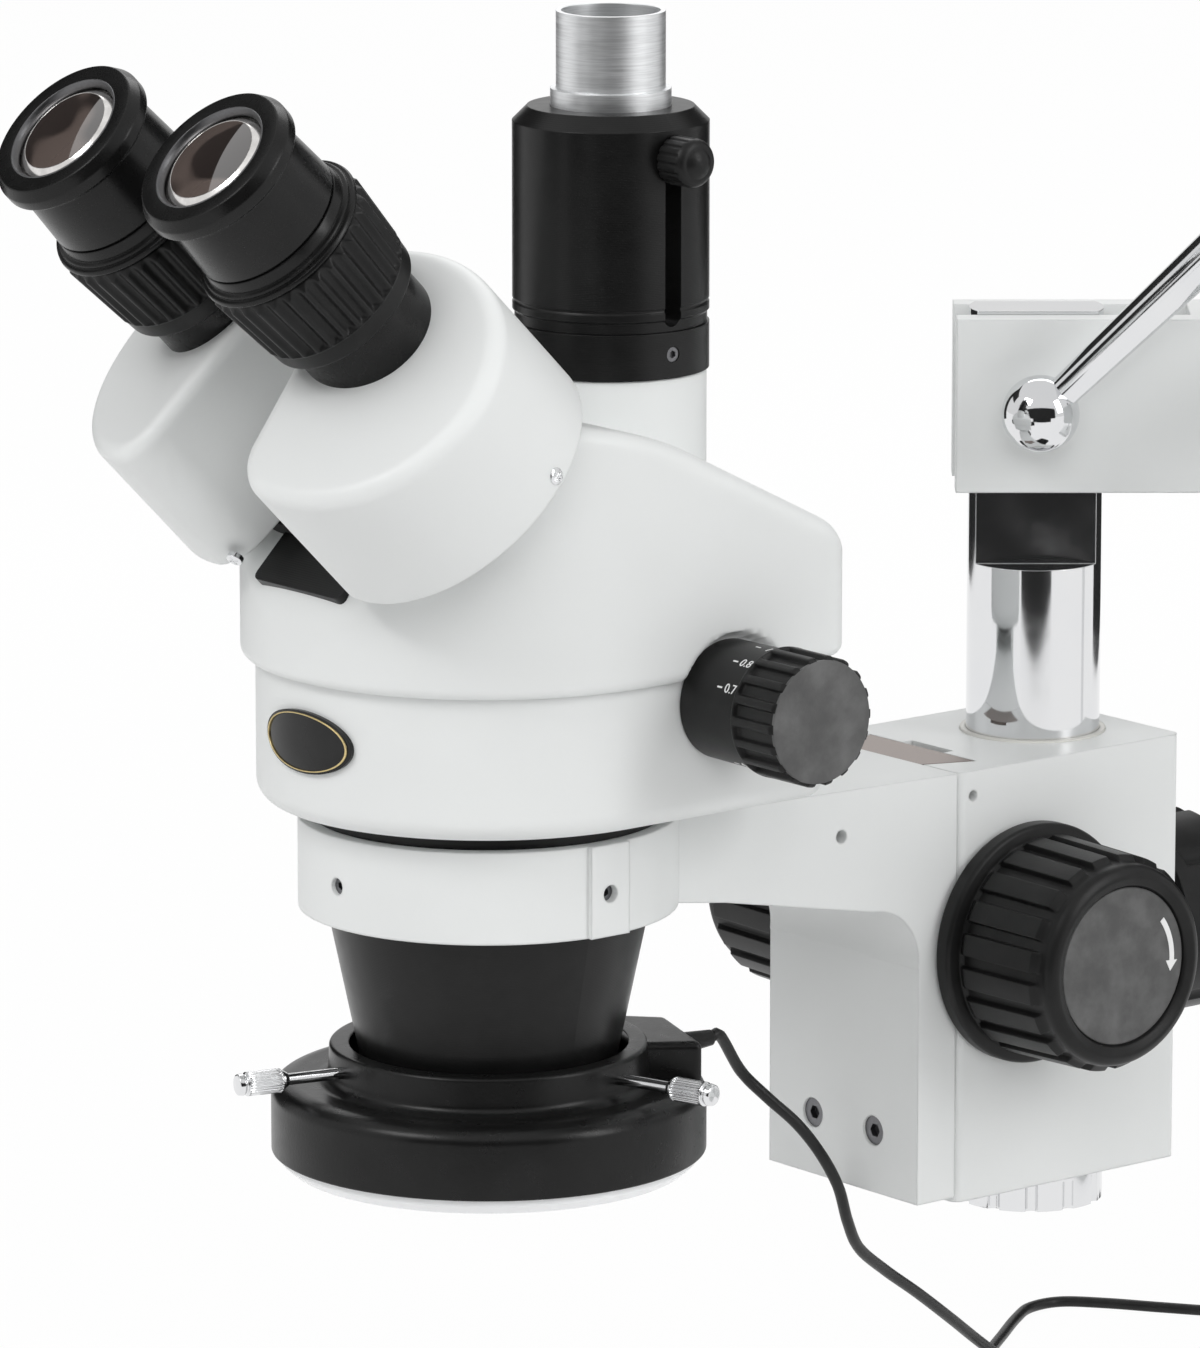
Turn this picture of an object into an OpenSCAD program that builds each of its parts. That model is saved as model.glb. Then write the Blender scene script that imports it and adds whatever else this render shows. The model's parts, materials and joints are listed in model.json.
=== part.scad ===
// Trinocular zoom stereo microscope on a two-rod boom stand with a ring light.
// Millimetres. Origin: centre of the stand's base on the bench, under the pillar.
// The boom runs along -X to the hanging post, and the head swivels on that post.

/* [Stand] */
// Side of the square cast base
base_side = 260; // [240:5:320]
// Thickness of the cast base
base_thick = 30; // [22:1:40]
// Diameter of the upright pillar
pillar_d = 38; // [30:1:45]
// Height of the pillar's top above the bench
pillar_top = 400; // [360:5:520]
// Distance from the pillar to the hanging post
boom_reach = 380; // [340:5:460]
// Diameter of each boom rod
rod_d = 22; // [16:1:26]
// Clearance between each boom rod and the pillar
rod_clear = 3; // [2:0.5:10]
// Length of the boom rods
rod_length = 520; // [460:10:640]

/* [Fork and post] */
// Diameter of the hanging post
post_d = 32; // [28:0.5:36]
// Thickness of the flat tongue at the post's top
tongue_thick = 14.4; // [12:0.2:18]
// Height of the fork casting
fork_high = 41.5; // [36:0.5:48]
// Thickness of each fork cheek
cheek = 7; // [5:0.5:10]
// Radius of the clamp lever's ball
ball_r = 9.2; // [7:0.1:11]

/* [Focus mount] */
// Swivel of the head about the post
head_swivel = 51; // [0:1:90]
// Distance from the post's axis back to the optical axis
post_back = 166; // [150:1:180]
// Width of the focus block and the bracket arm
block_w = 54; // [48:1:62]
// Height of the focus block
block_high = 104; // [90:1:120]
// Radius of the focus knobs' flange
focus_r = 27; // [22:0.5:32]
// Number of ribs on a focus knob
focus_ribs = 20; // [12:1:24]
// Inner diameter of the bracket's head ring
ring_bore = 76; // [72:0.5:84]
// Wall of the bracket's head ring
ring_wall = 5.5; // [4:0.5:8]

/* [Head] */
// Height of the ring light's underside above the bench
work_height = 100; // [90:1:160]
// Outer radius of the lower shell
shell_r = 53; // [50:0.5:56]
// Wall of the two cast shells
shell_wall = 3; // [2.4:0.1:4]
// Radius of each prism drum
drum_r = 34.5; // [31:0.5:35]
// Length of each prism drum
drum_long = 38; // [30:1:44]
// Distance between the two eyepiece axes at rest
eye_gap = 54; // [52:0.5:58]
// Radius of the zoom knobs
zoom_r = 14.2; // [11:0.2:17]
// Radius of the photo port's black sleeve
port_r = 22.5; // [20:0.5:25]
// Outer diameter of the silver photo tube
photo_d = 25; // [23:0.2:28]

/* [Eyepieces] */
// Radius of the eyecup's rim
cup_r = 19.3; // [17:0.1:22]
// Radius of the eyepiece barrel
barrel_r = 16.7; // [15.5:0.1:18]
// Inner radius of the eye tubes
tube_bore_r = 15; // [14:0.1:15.2]
// Number of flutes on a diopter ring
flutes = 24; // [16:1:30]

/* [Ring light] */
// Outer radius of the ring light
lamp_r = 50; // [46:0.5:56]
// Radius of the ring light's opening
lamp_bore_r = 32; // [30.5:0.5:34]
// Diameter of the lead
lead_d = 2.8; // [2.4:0.1:3.4]

/* [Hidden] */
$fn = 96;
eps = 0.01;
run_gap = 0.06;     // radial clearance of running shafts
seat = 0.3;         // gap between curved faces of separate bodies
mesh_gap = 0.3;     // backlash of toothed pairs

base_foot = 3;
base_top = base_foot + base_thick;
rod_z = work_height + 156.2;      // height of the boom's centre line
rod_y = (pillar_d + rod_d) / 2 + rod_clear;    // each rod's offset from the boom's centre
tilt_z = 156.2;                   // tilt pin height above the ring light
fork_low = tilt_z - fork_high / 2;
fork_top = tilt_z + fork_high / 2;
fork_gap = tongue_thick + 0.3;
fork_deep = fork_gap + 2 * cheek;
fork_left = 19.4;
slot_deep = 36;                   // the fork's slot runs this far past the pin
fork_right = 62;
head_beam_long = 30;              // crosshead between fork and rods
tongue_low = 117;
pin_r = 5;

block_low = -28.5;
block_top = block_low + block_high;
block_back = post_back + post_d / 2 + 7.4;
bush_wall = 1.4;
plate_gap = 0.35;
focus_y = post_back - post_d / 2 - 10;    // the pinion runs just in front of the post
focus_z = 32.5;
focus_shaft_r = 4;
slide_w = 30;
slide_back = focus_y - 9;
block_front = slide_back - 12;
plate_front = block_front - 12;
gear_m = 0.8;
pinion_teeth = 16;
pinion_pitch_r = gear_m * pinion_teeth / 2;
rack_pitch_y = focus_y - pinion_pitch_r;
knob_in = block_w / 2 + 1;
knob_long = 35;
stop_r = 17.9;

ring_low = 57.6;
ring_top = 78.8;
ring_r = ring_bore / 2 + ring_wall;
neck_r = ring_bore / 2 - 0.06;
seam_z = 116;
shell_low = 81.5;
upper_r = shell_r + 3.8;
body_back = 60;
body_corner = 7;
cone_top_r = neck_r - 0.44;
cone_low_r = 29.2;
cone_low = 12;
thread_r = 24;                    // accessory thread in the nose, 48 mm across
thread_long = 6;
cell_r = 23;

drum_x = 35.2;
drum_y = -62.1;
drum_z = 190.2;
eye_up = 11.5;
neck_hub_r = 12;
face_low = -drum_long - 5.6;       // drum plate's seat, counted along the drums
plate_top = -drum_long - 1.4;
plate_wide = 2 * drum_x + 27;
plate_tall = 46;
eye_in = drum_x - eye_gap / 2;
tube_r = 15.6;
port_y = 36;
port_low = 178;
sleeve_low = 188.6;
sleeve_top = 238;
photo_top = 259.6;
knob_z = 228;
guide_r = photo_d / 2 + 1.3;       // lower, wider part of the photo tube
slot_low = 192;
slot_w = 4.6;
zoom_y = 26.3;
zoom_z = 110.3;
zoom_in = shell_r + 0.2;
zoom_out = zoom_in + 33;
lamp_screws = [256, 16, 136];
lamp_screw_z = 19;

// The lead's route, counted from the foot of the post's axis on the bench. It leaves the
// relief, falls to the bench, turns back under itself and runs to the coil.
relief_end = 66;
lead_air = [
    [-70.3, -52.5, 104.2], [-63.9, -50.5, 97.2], [-57, -49.5, 90.6], [-51.5, -47.5, 83],
    [-47.1, -43.5, 73.8], [-44.6, -37.5, 63.5], [-41.6, -29.5, 54.8], [-35, -17.5, 46],
    [-26.6, -4.5, 36.6], [-18.2, 9.5, 26.4], [-11.8, 22.5, 17.8], [-6, 33, 10.5], [-1.5, 39, 5]
];
lead_bench = [
    [-1.5, 39, 5], [2.5, 43, 2.3], [9, 45.5, 1.4], [16, 42.5, 1.4], [19, 35, 1.4], [16, 27.5, 1.4], [8, 24, 1.4], [-1, 27, 1.4],
    [-6.5, 37, 1.4], [-8, 50, 1.4], [-6, 66, 1.4], [-2, 82, 1.4], [2, 97, 1.4], [6, 107, 1.4],
    [14, 112.5, 1.4], [26, 111, 1.4], [40, 107, 1.4], [55, 103.5, 1.4], [68, 105, 1.4],
    [79, 112, 1.4], [87, 121.5, 1.4], [94, 130.5, 1.4], [102, 135.2, 1.4]
];
coil_centre = [112, 158];
coil_out = 22.8;
coil_step = 3.3;
coil_turns = 4;

// ---- frames -------------------------------------------------------------

// Post frame: Z up the hanging post, heights counted from the ring light's underside.
module at_post() translate([-boom_reach, 0, work_height]) children();

// Head frame: Z up the optical axis, +X the user's right, +Y from the eyepieces to the post.
module in_head() at_post() rotate([0, 0, -head_swivel]) translate([0, -post_back, 0]) children();

// Drum frame: Z along a drum's own axis towards the eye, zero on its end face.
module in_drum(side) in_head()
    translate([side * drum_x, drum_y, drum_z]) rotate([45, 0, 0]) children();

// Eye frame: Z along an eyepiece's axis, zero on the drum's end face.
module in_eye(side) in_drum(side) translate([-side * eye_in, eye_up, 0]) children();

// ---- shared shapes ------------------------------------------------------

module tube(r, bore, high) difference() {
    cylinder(r = r, h = high);
    translate([0, 0, -1]) cylinder(r = bore, h = high + 2);
}

// Plain bar along Z with rounded upright edges.
module round_bar(x, y, z, r) linear_extrude(z) round_rect(x, y, r);

module round_rect(x, y, r) union() {
    square([x - 2 * r, y], center = true);
    square([x, y - 2 * r], center = true);
    for (i = [-1, 1], j = [-1, 1])
        translate([i * (x / 2 - r), j * (y / 2 - r)]) circle(r);
}

// Lathe profile of a disc or plug with one rounded rim at its top.
module rim_disc(r, high, round, bore = 0) rotate_extrude() difference() {
    union() {
        square([r - round, high]);
        square([r, high - round]);
        translate([r - round, high - round]) circle(round);
    }
    translate([-2 * r, -1]) square([2 * r + bore, high + 2]);
}

// Ribbed hand knob along +Z with a stud that reaches down to -reach.
module hand_knob(r, high, lobes, stud_r, reach) {
    difference() {
        rim_disc(r, high, 3);
        for (i = [0 : lobes - 1]) rotate(i * 360 / lobes)
            translate([r + 1.6, 0, 4]) cylinder(r = 3, h = high, $fn = 24);
    }
    translate([0, 0, -reach]) cylinder(r = stud_r, h = reach + 1);
}

// Round hole along +X through a part, from x0 for a length.
module hole_x(r, x0, length) translate([x0, 0, 0]) rotate([0, 90, 0]) cylinder(r = r, h = length);

// Straight-flanked gear blank in the XY plane.
module gear(teeth, m, high) linear_extrude(high) union() {
    circle(m * (teeth / 2 - 1.15));
    for (i = [0 : teeth - 1]) rotate(i * 360 / teeth) polygon([
        [0, -m * 0.95], [m * (teeth / 2 - 1.15), -m * 0.95], [m * (teeth / 2), -m * 0.78 + mesh_gap / 2],
        [m * (teeth / 2 + 0.8), -m * 0.3], [m * (teeth / 2 + 0.8), m * 0.3],
        [m * (teeth / 2), m * 0.78 - mesh_gap / 2], [m * (teeth / 2 - 1.15), m * 0.95], [0, m * 0.95]
    ]);
}

// ---- stand --------------------------------------------------------------

module base() color("whitesmoke") translate([0, 0, base_foot]) difference() {
    union() {
        round_bar(base_side, base_side, base_thick - 4, 22);
        translate([0, 0, base_thick - 4]) round_bar(base_side - 8, base_side - 8, 4, 18);
        cylinder(r = pillar_d / 2 + 14, h = base_thick + 8);
    }
    translate([0, 0, 6]) cylinder(r = pillar_d / 2 + 0.02, h = base_thick + 10);
    for (i = [-1, 1], j = [-1, 1])
        translate([i * foot_off(), j * foot_off(), -1]) cylinder(r = 3, h = 9);
}

function foot_off() = base_side / 2 - 20;

module feet() color("dimgray") for (i = [-1, 1], j = [-1, 1])
    translate([i * foot_off(), j * foot_off(), 0]) {
        cylinder(r = 11, h = base_foot);
        translate([0, 0, base_foot - eps]) cylinder(r = 2.9, h = 6);
    }

module pillar() color("silver") translate([0, 0, base_foot + 6])
    cylinder(r = pillar_d / 2, h = pillar_top - base_foot - 6 - 4);

module pillar_cap() color("black") translate([0, 0, pillar_top - 4]) rim_disc(pillar_d / 2 + 1.5, 6, 2);

collar_top = rod_z - 46;
swing_knob_z = collar_top + 15;
module height_collar() color("silver") translate([0, 0, collar_top - 18]) difference() {
    tube(pillar_d / 2 + 12, pillar_d / 2 + run_gap, 18 - 0.1);
    translate([0, 0, 9]) rotate([90, 0, 0]) cylinder(r = 3, h = 60);
}

module collar_knob() color("black") translate([0, -pillar_d / 2 - 13, collar_top - 9])
    rotate([90, 0, 0]) hand_knob(11, 14, 8, 2.9, 12.6);

cross_w = 2 * rod_y + rod_d + 16;
module cross_block() color("whitesmoke") difference() {
    union() {
        translate([0, 0, collar_top]) cylinder(r = pillar_d / 2 + 13, h = 78);
        translate([0, 0, rod_z]) rotate([0, 90, 0]) translate([0, 0, -32])
            round_bar(rod_d + 18, cross_w + 0.01, 64, 8);
        translate([0, 0, rod_z]) rotate([90, 0, 0]) cylinder(r = 15, h = cross_w / 2 + 6);
    }
    translate([0, 0, collar_top - 1]) cylinder(r = pillar_d / 2 + run_gap, h = 100);
    for (j = [-1, 1]) translate([0, j * rod_y, rod_z]) hole_x(rod_d / 2 + run_gap, -60, 120);
    translate([0, 0, rod_z]) rotate([90, 0, 0]) cylinder(r = 4, h = 80);
    translate([0, 0, swing_knob_z]) rotate([-90, 0, 0]) cylinder(r = 3.5, h = 60);
}

module swing_knob() color("black") translate([0, pillar_d / 2 + 14, swing_knob_z])
    rotate([-90, 0, 0]) hand_knob(11, 15, 8, 3.4, 13.6);

module slide_knob() color("black") translate([0, -cross_w / 2 - 7, rod_z])
    rotate([90, 0, 0]) hand_knob(18, 22, 10, 3.9, 12);

rod_left = -boom_reach + fork_right + head_beam_long - 22;
module boom_rods() color("silver") for (j = [-1, 1])
    translate([rod_left, j * rod_y, rod_z]) rotate([0, 90, 0]) cylinder(r = rod_d / 2, h = rod_length);

module end_plate() color("whitesmoke") translate([rod_left + rod_length - 8, 0, rod_z]) difference() {
    rotate([0, 90, 0]) round_bar(rod_d + 14, cross_w, 14, 8);
    for (j = [-1, 1]) translate([0, j * rod_y, 0]) hole_x(rod_d / 2 + 0.02, -1, 9);
}

module fork() color("whitesmoke") at_post() difference() {
    union() {
        translate([-fork_left, -fork_deep / 2, fork_low]) cube([fork_left + fork_right + 2, fork_deep, fork_high]);
        translate([fork_right, 0, tilt_z]) rotate([0, 90, 0])
            round_bar(fork_high, cross_w, head_beam_long, 8);
    }
    translate([-fork_left - 1, -fork_gap / 2, fork_low - 1]) cube([fork_left + slot_deep + 1, fork_gap, fork_high + 2]);
    translate([0, 0, tilt_z]) rotate([90, 0, 0]) translate([0, 0, -50]) cylinder(r = pin_r + run_gap, h = 100);
    for (j = [-1, 1]) translate([0, j * rod_y, tilt_z])
        hole_x(rod_d / 2 + 0.02, fork_right + head_beam_long - 22, 40);
}

module tilt_pin() color("silver") at_post() translate([0, fork_deep / 2 + 5, tilt_z]) rotate([90, 0, 0]) {
    cylinder(r = 9, h = 5 - eps, $fn = 6);
    translate([0, 0, 4]) cylinder(r = pin_r, h = fork_deep + 1);
}

lever_rise = 46;
module tilt_lever() color("silver") at_post() translate([0, -fork_deep / 2 - 0.2, tilt_z]) {
    rotate([90, 0, 0]) cylinder(r = 6.5, h = 4);
    translate([0, -9.6, 0]) {
        difference() {
            sphere(ball_r);
            translate([-20, -20 - ball_r + 0.7, -20]) cube([40, 20, 40]);
        }
        rotate([12, 90 - lever_rise, 0]) {
            cylinder(r1 = 3.6, r2 = 5.6, h = 78);
            translate([0, 0, 78]) sphere(5.6);
        }
    }
}

// ---- post and focus block -----------------------------------------------

module post() color("silver") at_post() difference() {
    translate([0, 0, block_low - 4]) cylinder(r = post_d / 2, h = fork_top + 0.8 - block_low + 4);
    for (j = [-1, 1]) translate([-30, j > 0 ? tongue_thick / 2 : -30 - tongue_thick / 2, tongue_low])
        cube([60, 30, 100]);
    translate([0, 0, tilt_z]) rotate([90, 0, 0]) translate([0, 0, -30]) cylinder(r = pin_r + run_gap, h = 60);
}

module post_stop() color("silver") at_post() translate([0, 0, block_low - 11]) difference() {
    cylinder(r = stop_r, h = 10.2);
    translate([0, 0, 7]) cylinder(r = post_d / 2 + 0.02, h = 10);
    for (i = [0 : 11]) rotate(i * 30) translate([stop_r + 0.4, 0, -1]) cylinder(r = 1.6, h = 8, $fn = 24);
}

module post_bush() color("gainsboro") at_post() translate([0, 0, block_low + 0.2])
    tube(post_d / 2 + bush_wall, post_d / 2 + run_gap, block_high + 0.3);

bush_r = post_d / 2 + bush_wall;
module focus_block() color("whitesmoke") in_head() difference() {
    translate([0, (block_front + block_back) / 2, block_low])
        round_bar(block_w, block_back - block_front, block_high, 2.5);
    translate([0, post_back, block_low - 1]) cylinder(r = bush_r + run_gap, h = block_high + 2);
    // dovetail way for the slide bar, and the rack's clearance behind it
    translate([0, 0, block_low - 1]) linear_extrude(block_high + 2) polygon([
        [-slide_w / 2 - seat + 1.2, block_front - 1], [-slide_w / 2 - 4 - seat, slide_back + seat],
        [slide_w / 2 + 4 + seat, slide_back + seat], [slide_w / 2 + seat - 1.2, block_front - 1]
    ]);
    translate([-7.4, slide_back - 1, block_low - 1]) cube([14.8, 4.4, block_high + 2]);
    translate([0, focus_y, focus_z]) hole_x(focus_shaft_r + run_gap, -60, 120);
    translate([0, focus_y, focus_z]) hole_x(pinion_pitch_r + 1.6, -7.4, 14.8);
    translate([0, 0, focus_z - 8]) translate([0, block_back + 1, 0]) rotate([90, 0, 0])
        cylinder(r = 4, h = block_back - post_back - bush_r + 4);
    translate([block_w / 2 + 1, block_front + 4.5, block_top - 6]) rotate([0, -90, 0]) cylinder(r = 1.3, h = 9);
}

module post_clamp_knob() color("black") in_head() translate([0, block_back + 6, focus_z - 8])
    rotate([-90, 0, 0]) hand_knob(24.5, 22, 8, 3.9, block_back + 6 - post_back - bush_r - seat);

module pinion_shaft() color("silver") in_head() translate([0, focus_y, focus_z]) rotate([0, 90, 0]) {
    translate([0, 0, -knob_in - 24]) cylinder(r = focus_shaft_r, h = 2 * knob_in + 48);
    translate([0, 0, -6.6]) rotate(180 / pinion_teeth) gear(pinion_teeth, gear_m, 13.2);
}

module focus_knob() difference() {
    union() {
        rim_disc(focus_r, 5, 1.2);
        translate([0, 0, 4]) rim_disc(focus_r - 2.2, knob_long - 4, 3);
        for (i = [0 : focus_ribs - 1]) rotate(i * 360 / focus_ribs)
            translate([focus_r - 4, -2.3, 4]) cube([3.4, 4.6, knob_long - 8]);
    }
    translate([0, 0, -1]) cylinder(r = focus_shaft_r + 0.02, h = 26);
    translate([0, 0, knob_long - 1.6]) cylinder(r = 18.6, h = 5);
}

module focus_knob_right() color("black") in_head() translate([knob_in, focus_y, focus_z])
    rotate([0, 90, 0]) focus_knob();

module focus_knob_left() color("black") in_head() translate([-knob_in, focus_y, focus_z])
    rotate([0, -90, 0]) focus_knob();

module focus_caps() color("dimgray") in_head() for (s = [-1, 1])
    translate([s * (knob_in + knob_long - 1.6), focus_y, focus_z]) rotate([0, s * 90, 0])
        cylinder(r = 18.5, h = 0.9);

rack_teeth = 29;
rack_pitch = PI * gear_m;
rack_high = rack_pitch_y - slide_back + 0.7;
module slide_bar() color("silver") in_head() {
    translate([0, 0, block_low + 0.5]) linear_extrude(block_high - 0.5) polygon([
        [-slide_w / 2 + 1.2, block_front - plate_gap], [-slide_w / 2 - 4 + 0.3, slide_back],
        [slide_w / 2 + 4 - 0.3, slide_back], [slide_w / 2 - 1.2, block_front - plate_gap]
    ]);
    for (i = [0 : rack_teeth - 1])
        translate([-6.4, slide_back - eps, focus_z + (i - (rack_teeth - 1) / 2) * rack_pitch])
            rotate([90, 0, 90]) linear_extrude(12.8) polygon([
                [0, -gear_m * 0.95], [rack_high - 0.4, -gear_m * 0.6], [rack_high, -gear_m * 0.3],
                [rack_high, gear_m * 0.3], [rack_high - 0.4, gear_m * 0.6], [0, gear_m * 0.95]
            ]);
}

// Side view of the arm: Y back, Z up. The underside drops to the plate in one fillet.
module arm_profile() difference() {
    polygon([
        [30, ring_low], [30, ring_top - 1.4], [block_front - plate_gap, block_top],
        [block_front - plate_gap, block_low + 1.5], [plate_front, block_low + 1.5],
        [plate_front, 30], [plate_front - 14, 46], [48, 55]
    ]);
    translate([plate_front - 14, 32]) circle(14);
}

module bracket() color("whitesmoke") in_head() difference() {
    union() {
        translate([0, 0, ring_low]) cylinder(r = ring_r, h = ring_top - ring_low);
        intersection() {
            translate([block_w / 2, 0, 0]) rotate([90, 0, -90])
                mirror([1, 0, 0]) linear_extrude(block_w) arm_profile();
            translate([0, 75, block_low - 5]) round_bar(block_w, 100, 150, 2);
        }
        translate([ring_r - 4, -5.5, ring_low]) cube([4.9, 11, ring_top - ring_low]);
    }
    translate([0, 0, ring_low - 30]) cylinder(r = ring_bore / 2, h = 80);
    translate([0, 0, ring_low + 9.8]) rotate([0, 90, 0]) cylinder(r = 2, h = 60);
    translate([0, 0, ring_low + 9.8]) rotate([0, 90, -90]) cylinder(r = 2, h = 60);
    translate([block_w / 2 + 1, plate_front - 24, 65.5]) rotate([0, -90, 0]) cylinder(r = 1.6, h = 14);
    for (s = [-1, 1]) translate([s * 11, plate_front - 1, -12]) rotate([-90, 0, 0]) {
        cylinder(r = 3.6, h = 5);
        cylinder(r = 2.1, h = 30);
    }
}

module bracket_screws() color("silver") in_head() for (s = [-1, 1])
    translate([s * 11, plate_front + 0.6, -12]) rotate([-90, 0, 0]) difference() {
        union() {
            cylinder(r = 3.5, h = 3.4);
            cylinder(r = 2.05, h = block_front - plate_front - 1);
        }
        translate([0, 0, -1]) cylinder(r = 1.7, h = 2.6, $fn = 6);
    }

module ring_screws() color("dimgray") in_head() for (a = [0, -90]) rotate(a)
    translate([ring_bore / 2 + 0.4, 0, ring_low + 9.8]) rotate([0, 90, 0]) difference() {
        cylinder(r = 1.95, h = 4);
        translate([0, 0, 2.4]) cylinder(r = 1, h = 4, $fn = 6);
    }

// ---- head: casings ------------------------------------------------------

// Plan outline of the casings, grown by g: a half-round nose and straight flanks to a squarer back.
module body_plan(g) union() {
    circle(shell_r + g);
    intersection() {
        round_rect(2 * (shell_r + g), 2 * (body_back + g), body_corner + g);
        translate([-100, 0]) square([200, 200]);
    }
}

module mount_barrel() color("black") in_head() difference() {
    union() {
        translate([0, 0, ring_low + 2]) cylinder(r = neck_r, h = shell_low - ring_low - 2);
        translate([0, 0, ring_top + 0.05]) cylinder(r = ring_bore / 2 + 2.5, h = shell_low - ring_top - 0.05);
    }
    translate([0, 0, 0]) cylinder(r = neck_r - 5, h = 120);
}

module objective_shroud() color("black") in_head() difference() {
    union() {
        translate([0, 0, 20]) cylinder(r1 = cone_low_r, r2 = cone_top_r, h = ring_low + 2 - 20);
        translate([0, 0, cone_low]) cylinder(r = cone_low_r, h = 9);
    }
    translate([0, 0, cone_low - 1]) cylinder(r = thread_r, h = thread_long + 1);
    translate([0, 0, cone_low]) cylinder(r = cell_r, h = 15);
    translate([0, 0, cone_low + 14]) cylinder(r1 = cell_r, r2 = 33, h = ring_low + 2.1 - cone_low - 14);
}

// Lens cell in the shroud's nose with the two objective lenses.
module objective_lenses() color("lightblue", 0.5) in_head() translate([0, 0, cone_low + thread_long]) {
    for (s = [-1, 1]) translate([s * 11.5, 0, 2]) cylinder(r = 10, h = 4);
    difference() {
        cylinder(r = cell_r - 0.02, h = 8);
        for (s = [-1, 1]) translate([s * 11.5, 0, -1]) cylinder(r = 10.02, h = 10);
    }
}

module lower_shell() color("whitesmoke") in_head() difference() {
    union() {
        translate([0, 0, shell_low + 8]) linear_extrude(seam_z - shell_low - 8) body_plan(-0.6);
        translate([0, 0, shell_low + 3]) linear_extrude(6) body_plan(-2.4);
        translate([0, 0, shell_low]) linear_extrude(4) body_plan(-6.5);
    }
    translate([0, 0, shell_low + 4]) linear_extrude(60) body_plan(-0.6 - shell_wall - 4);
    translate([0, 0, shell_low - 1]) cylinder(r = neck_r - 5, h = 20);
    translate([0, zoom_y, zoom_z]) hole_x(4.5, -80, 160);
    zoom_recess();
}

// Round recess in each flank that clears the zoom knobs.
module zoom_recess() for (s = [-1, 1]) translate([s * (zoom_in - seat), zoom_y, zoom_z])
    rotate([0, s * 90, 0]) cylinder(r = zoom_r + 1.2, h = 40);

// Side view of the upper casing: Y back, Z up.
module upper_profile(g) polygon([
    [-upper_r - 5, seam_z - 1], [-upper_r - 5, 132 - g], [-60, 137.9 - g], [-20, port_low - g],
    [-5, port_low - g], [body_back + 12, port_low - g - (body_back + 17) / 2], [body_back + 12, seam_z - 1]
]);

module upper_solid(g) intersection() {
    linear_extrude(300) body_plan(3.2 - g);
    translate([100, 0, 0]) rotate([90, 0, -90]) mirror([1, 0, 0]) linear_extrude(200) upper_profile(g);
}

module upper_shell() color("whitesmoke") difference() {
    union() {
        in_head() difference() {
            upper_solid(0);
            translate([0, 0, seam_z - 10]) cube([400, 400, 20 + 2 * eps], center = true);
        }
        in_head() translate([0, port_y, 150]) cylinder(r = port_r - 0.6, h = port_low - 150);
    }
    in_head() difference() {
        upper_solid(shell_wall + 2);
        translate([-60, -100, seam_z + 7]) cube([120, 60, 60]);
    }
    in_head() translate([0, port_y, 120]) cylinder(r = 14, h = 80);
    in_head() zoom_recess();
    // seat of the drum plate, the bay below it between the drums, and the light ways
    in_drum(0) translate([0, 4, face_low]) round_bar(plate_wide + 0.6, plate_tall + 0.6, 40, 8.3);
    in_drum(0) translate([-20, -70, face_low]) cube([40, 72, 40]);
    for (s = [-1, 1]) in_drum(s) translate([0, 0, face_low - 25]) cylinder(r = neck_hub_r - 1, h = 30);
}

module badge() color("black") in_head() rotate(-90 + 4) translate([shell_r - 0.58, 0, 102])
    rotate([0, 90, 0]) linear_extrude(1.6) badge_outline();

// Oval from two wide arcs and two narrow ones.
module badge_outline() intersection() {
    translate([9, 0]) circle(16.4);
    translate([-9, 0]) circle(16.4);
    square([15, 40], center = true);
}

// ---- zoom ---------------------------------------------------------------

module zoom_shaft() color("silver") in_head() translate([0, zoom_y, zoom_z]) {
    hole_x(4.4, -zoom_out + 6, 2 * zoom_out - 12);
    hole_x(9, -12, 24);
}

module zoom_knob() difference() {
    union() {
        cylinder(r = zoom_r - 0.5, h = 16);
        translate([0, 0, 15]) rim_disc(zoom_r, zoom_out - zoom_in - 15, 1.6);
    }
    translate([0, 0, -1]) cylinder(r = 4.42, h = zoom_out - zoom_in - 4.8);
    for (i = [0 : 17]) rotate(i * 20) translate([zoom_r - 0.9, -1.1, 17.5]) cube([3, 2.2, 9.5]);
}

module zoom_knob_right() color("black") in_head() translate([zoom_in, zoom_y, zoom_z])
    rotate([0, 90, 0]) zoom_knob();

module zoom_knob_left() color("black") in_head() translate([-zoom_in, zoom_y, zoom_z])
    rotate([0, -90, 0]) zoom_knob();

// ---- binocular ----------------------------------------------------------

module drum_plate() color("black") difference() {
    in_drum(0) translate([0, 4, face_low]) round_bar(plate_wide, plate_tall, plate_top - face_low, 8);
    for (s = [-1, 1]) in_drum(s) translate([0, 0, -drum_long - 10]) cylinder(r = neck_hub_r + run_gap, h = 12);
}

module prism_drum(side) difference() {
    union() {
        translate([0, 0, -drum_long]) rim_disc(drum_r, drum_long, 7);
        translate([0, 0, -drum_long - 5.4]) cylinder(r = neck_hub_r, h = 7);
        translate([-side * eye_in, eye_up, -2]) cylinder(r = tube_r, h = 11);
    }
    translate([0, 0, -drum_long - 7]) cylinder(r = 9, h = 12);
    translate([0, 0, -drum_long + 3]) cylinder(r = drum_r - 3.4, h = drum_long - 9);
    translate([-side * eye_in, eye_up, -10]) cylinder(r = tube_bore_r, h = 60);
    rotate(side > 0 ? -28 : 208) translate([drum_r - 3.6, 0, -drum_long + 5]) rotate([0, 90, 0])
        cylinder(r = 1.5, h = 9);
}

module prism_drum_right() color("whitesmoke") in_drum(1) prism_drum(1);
module prism_drum_left() color("whitesmoke") in_drum(-1) prism_drum(-1);

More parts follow.
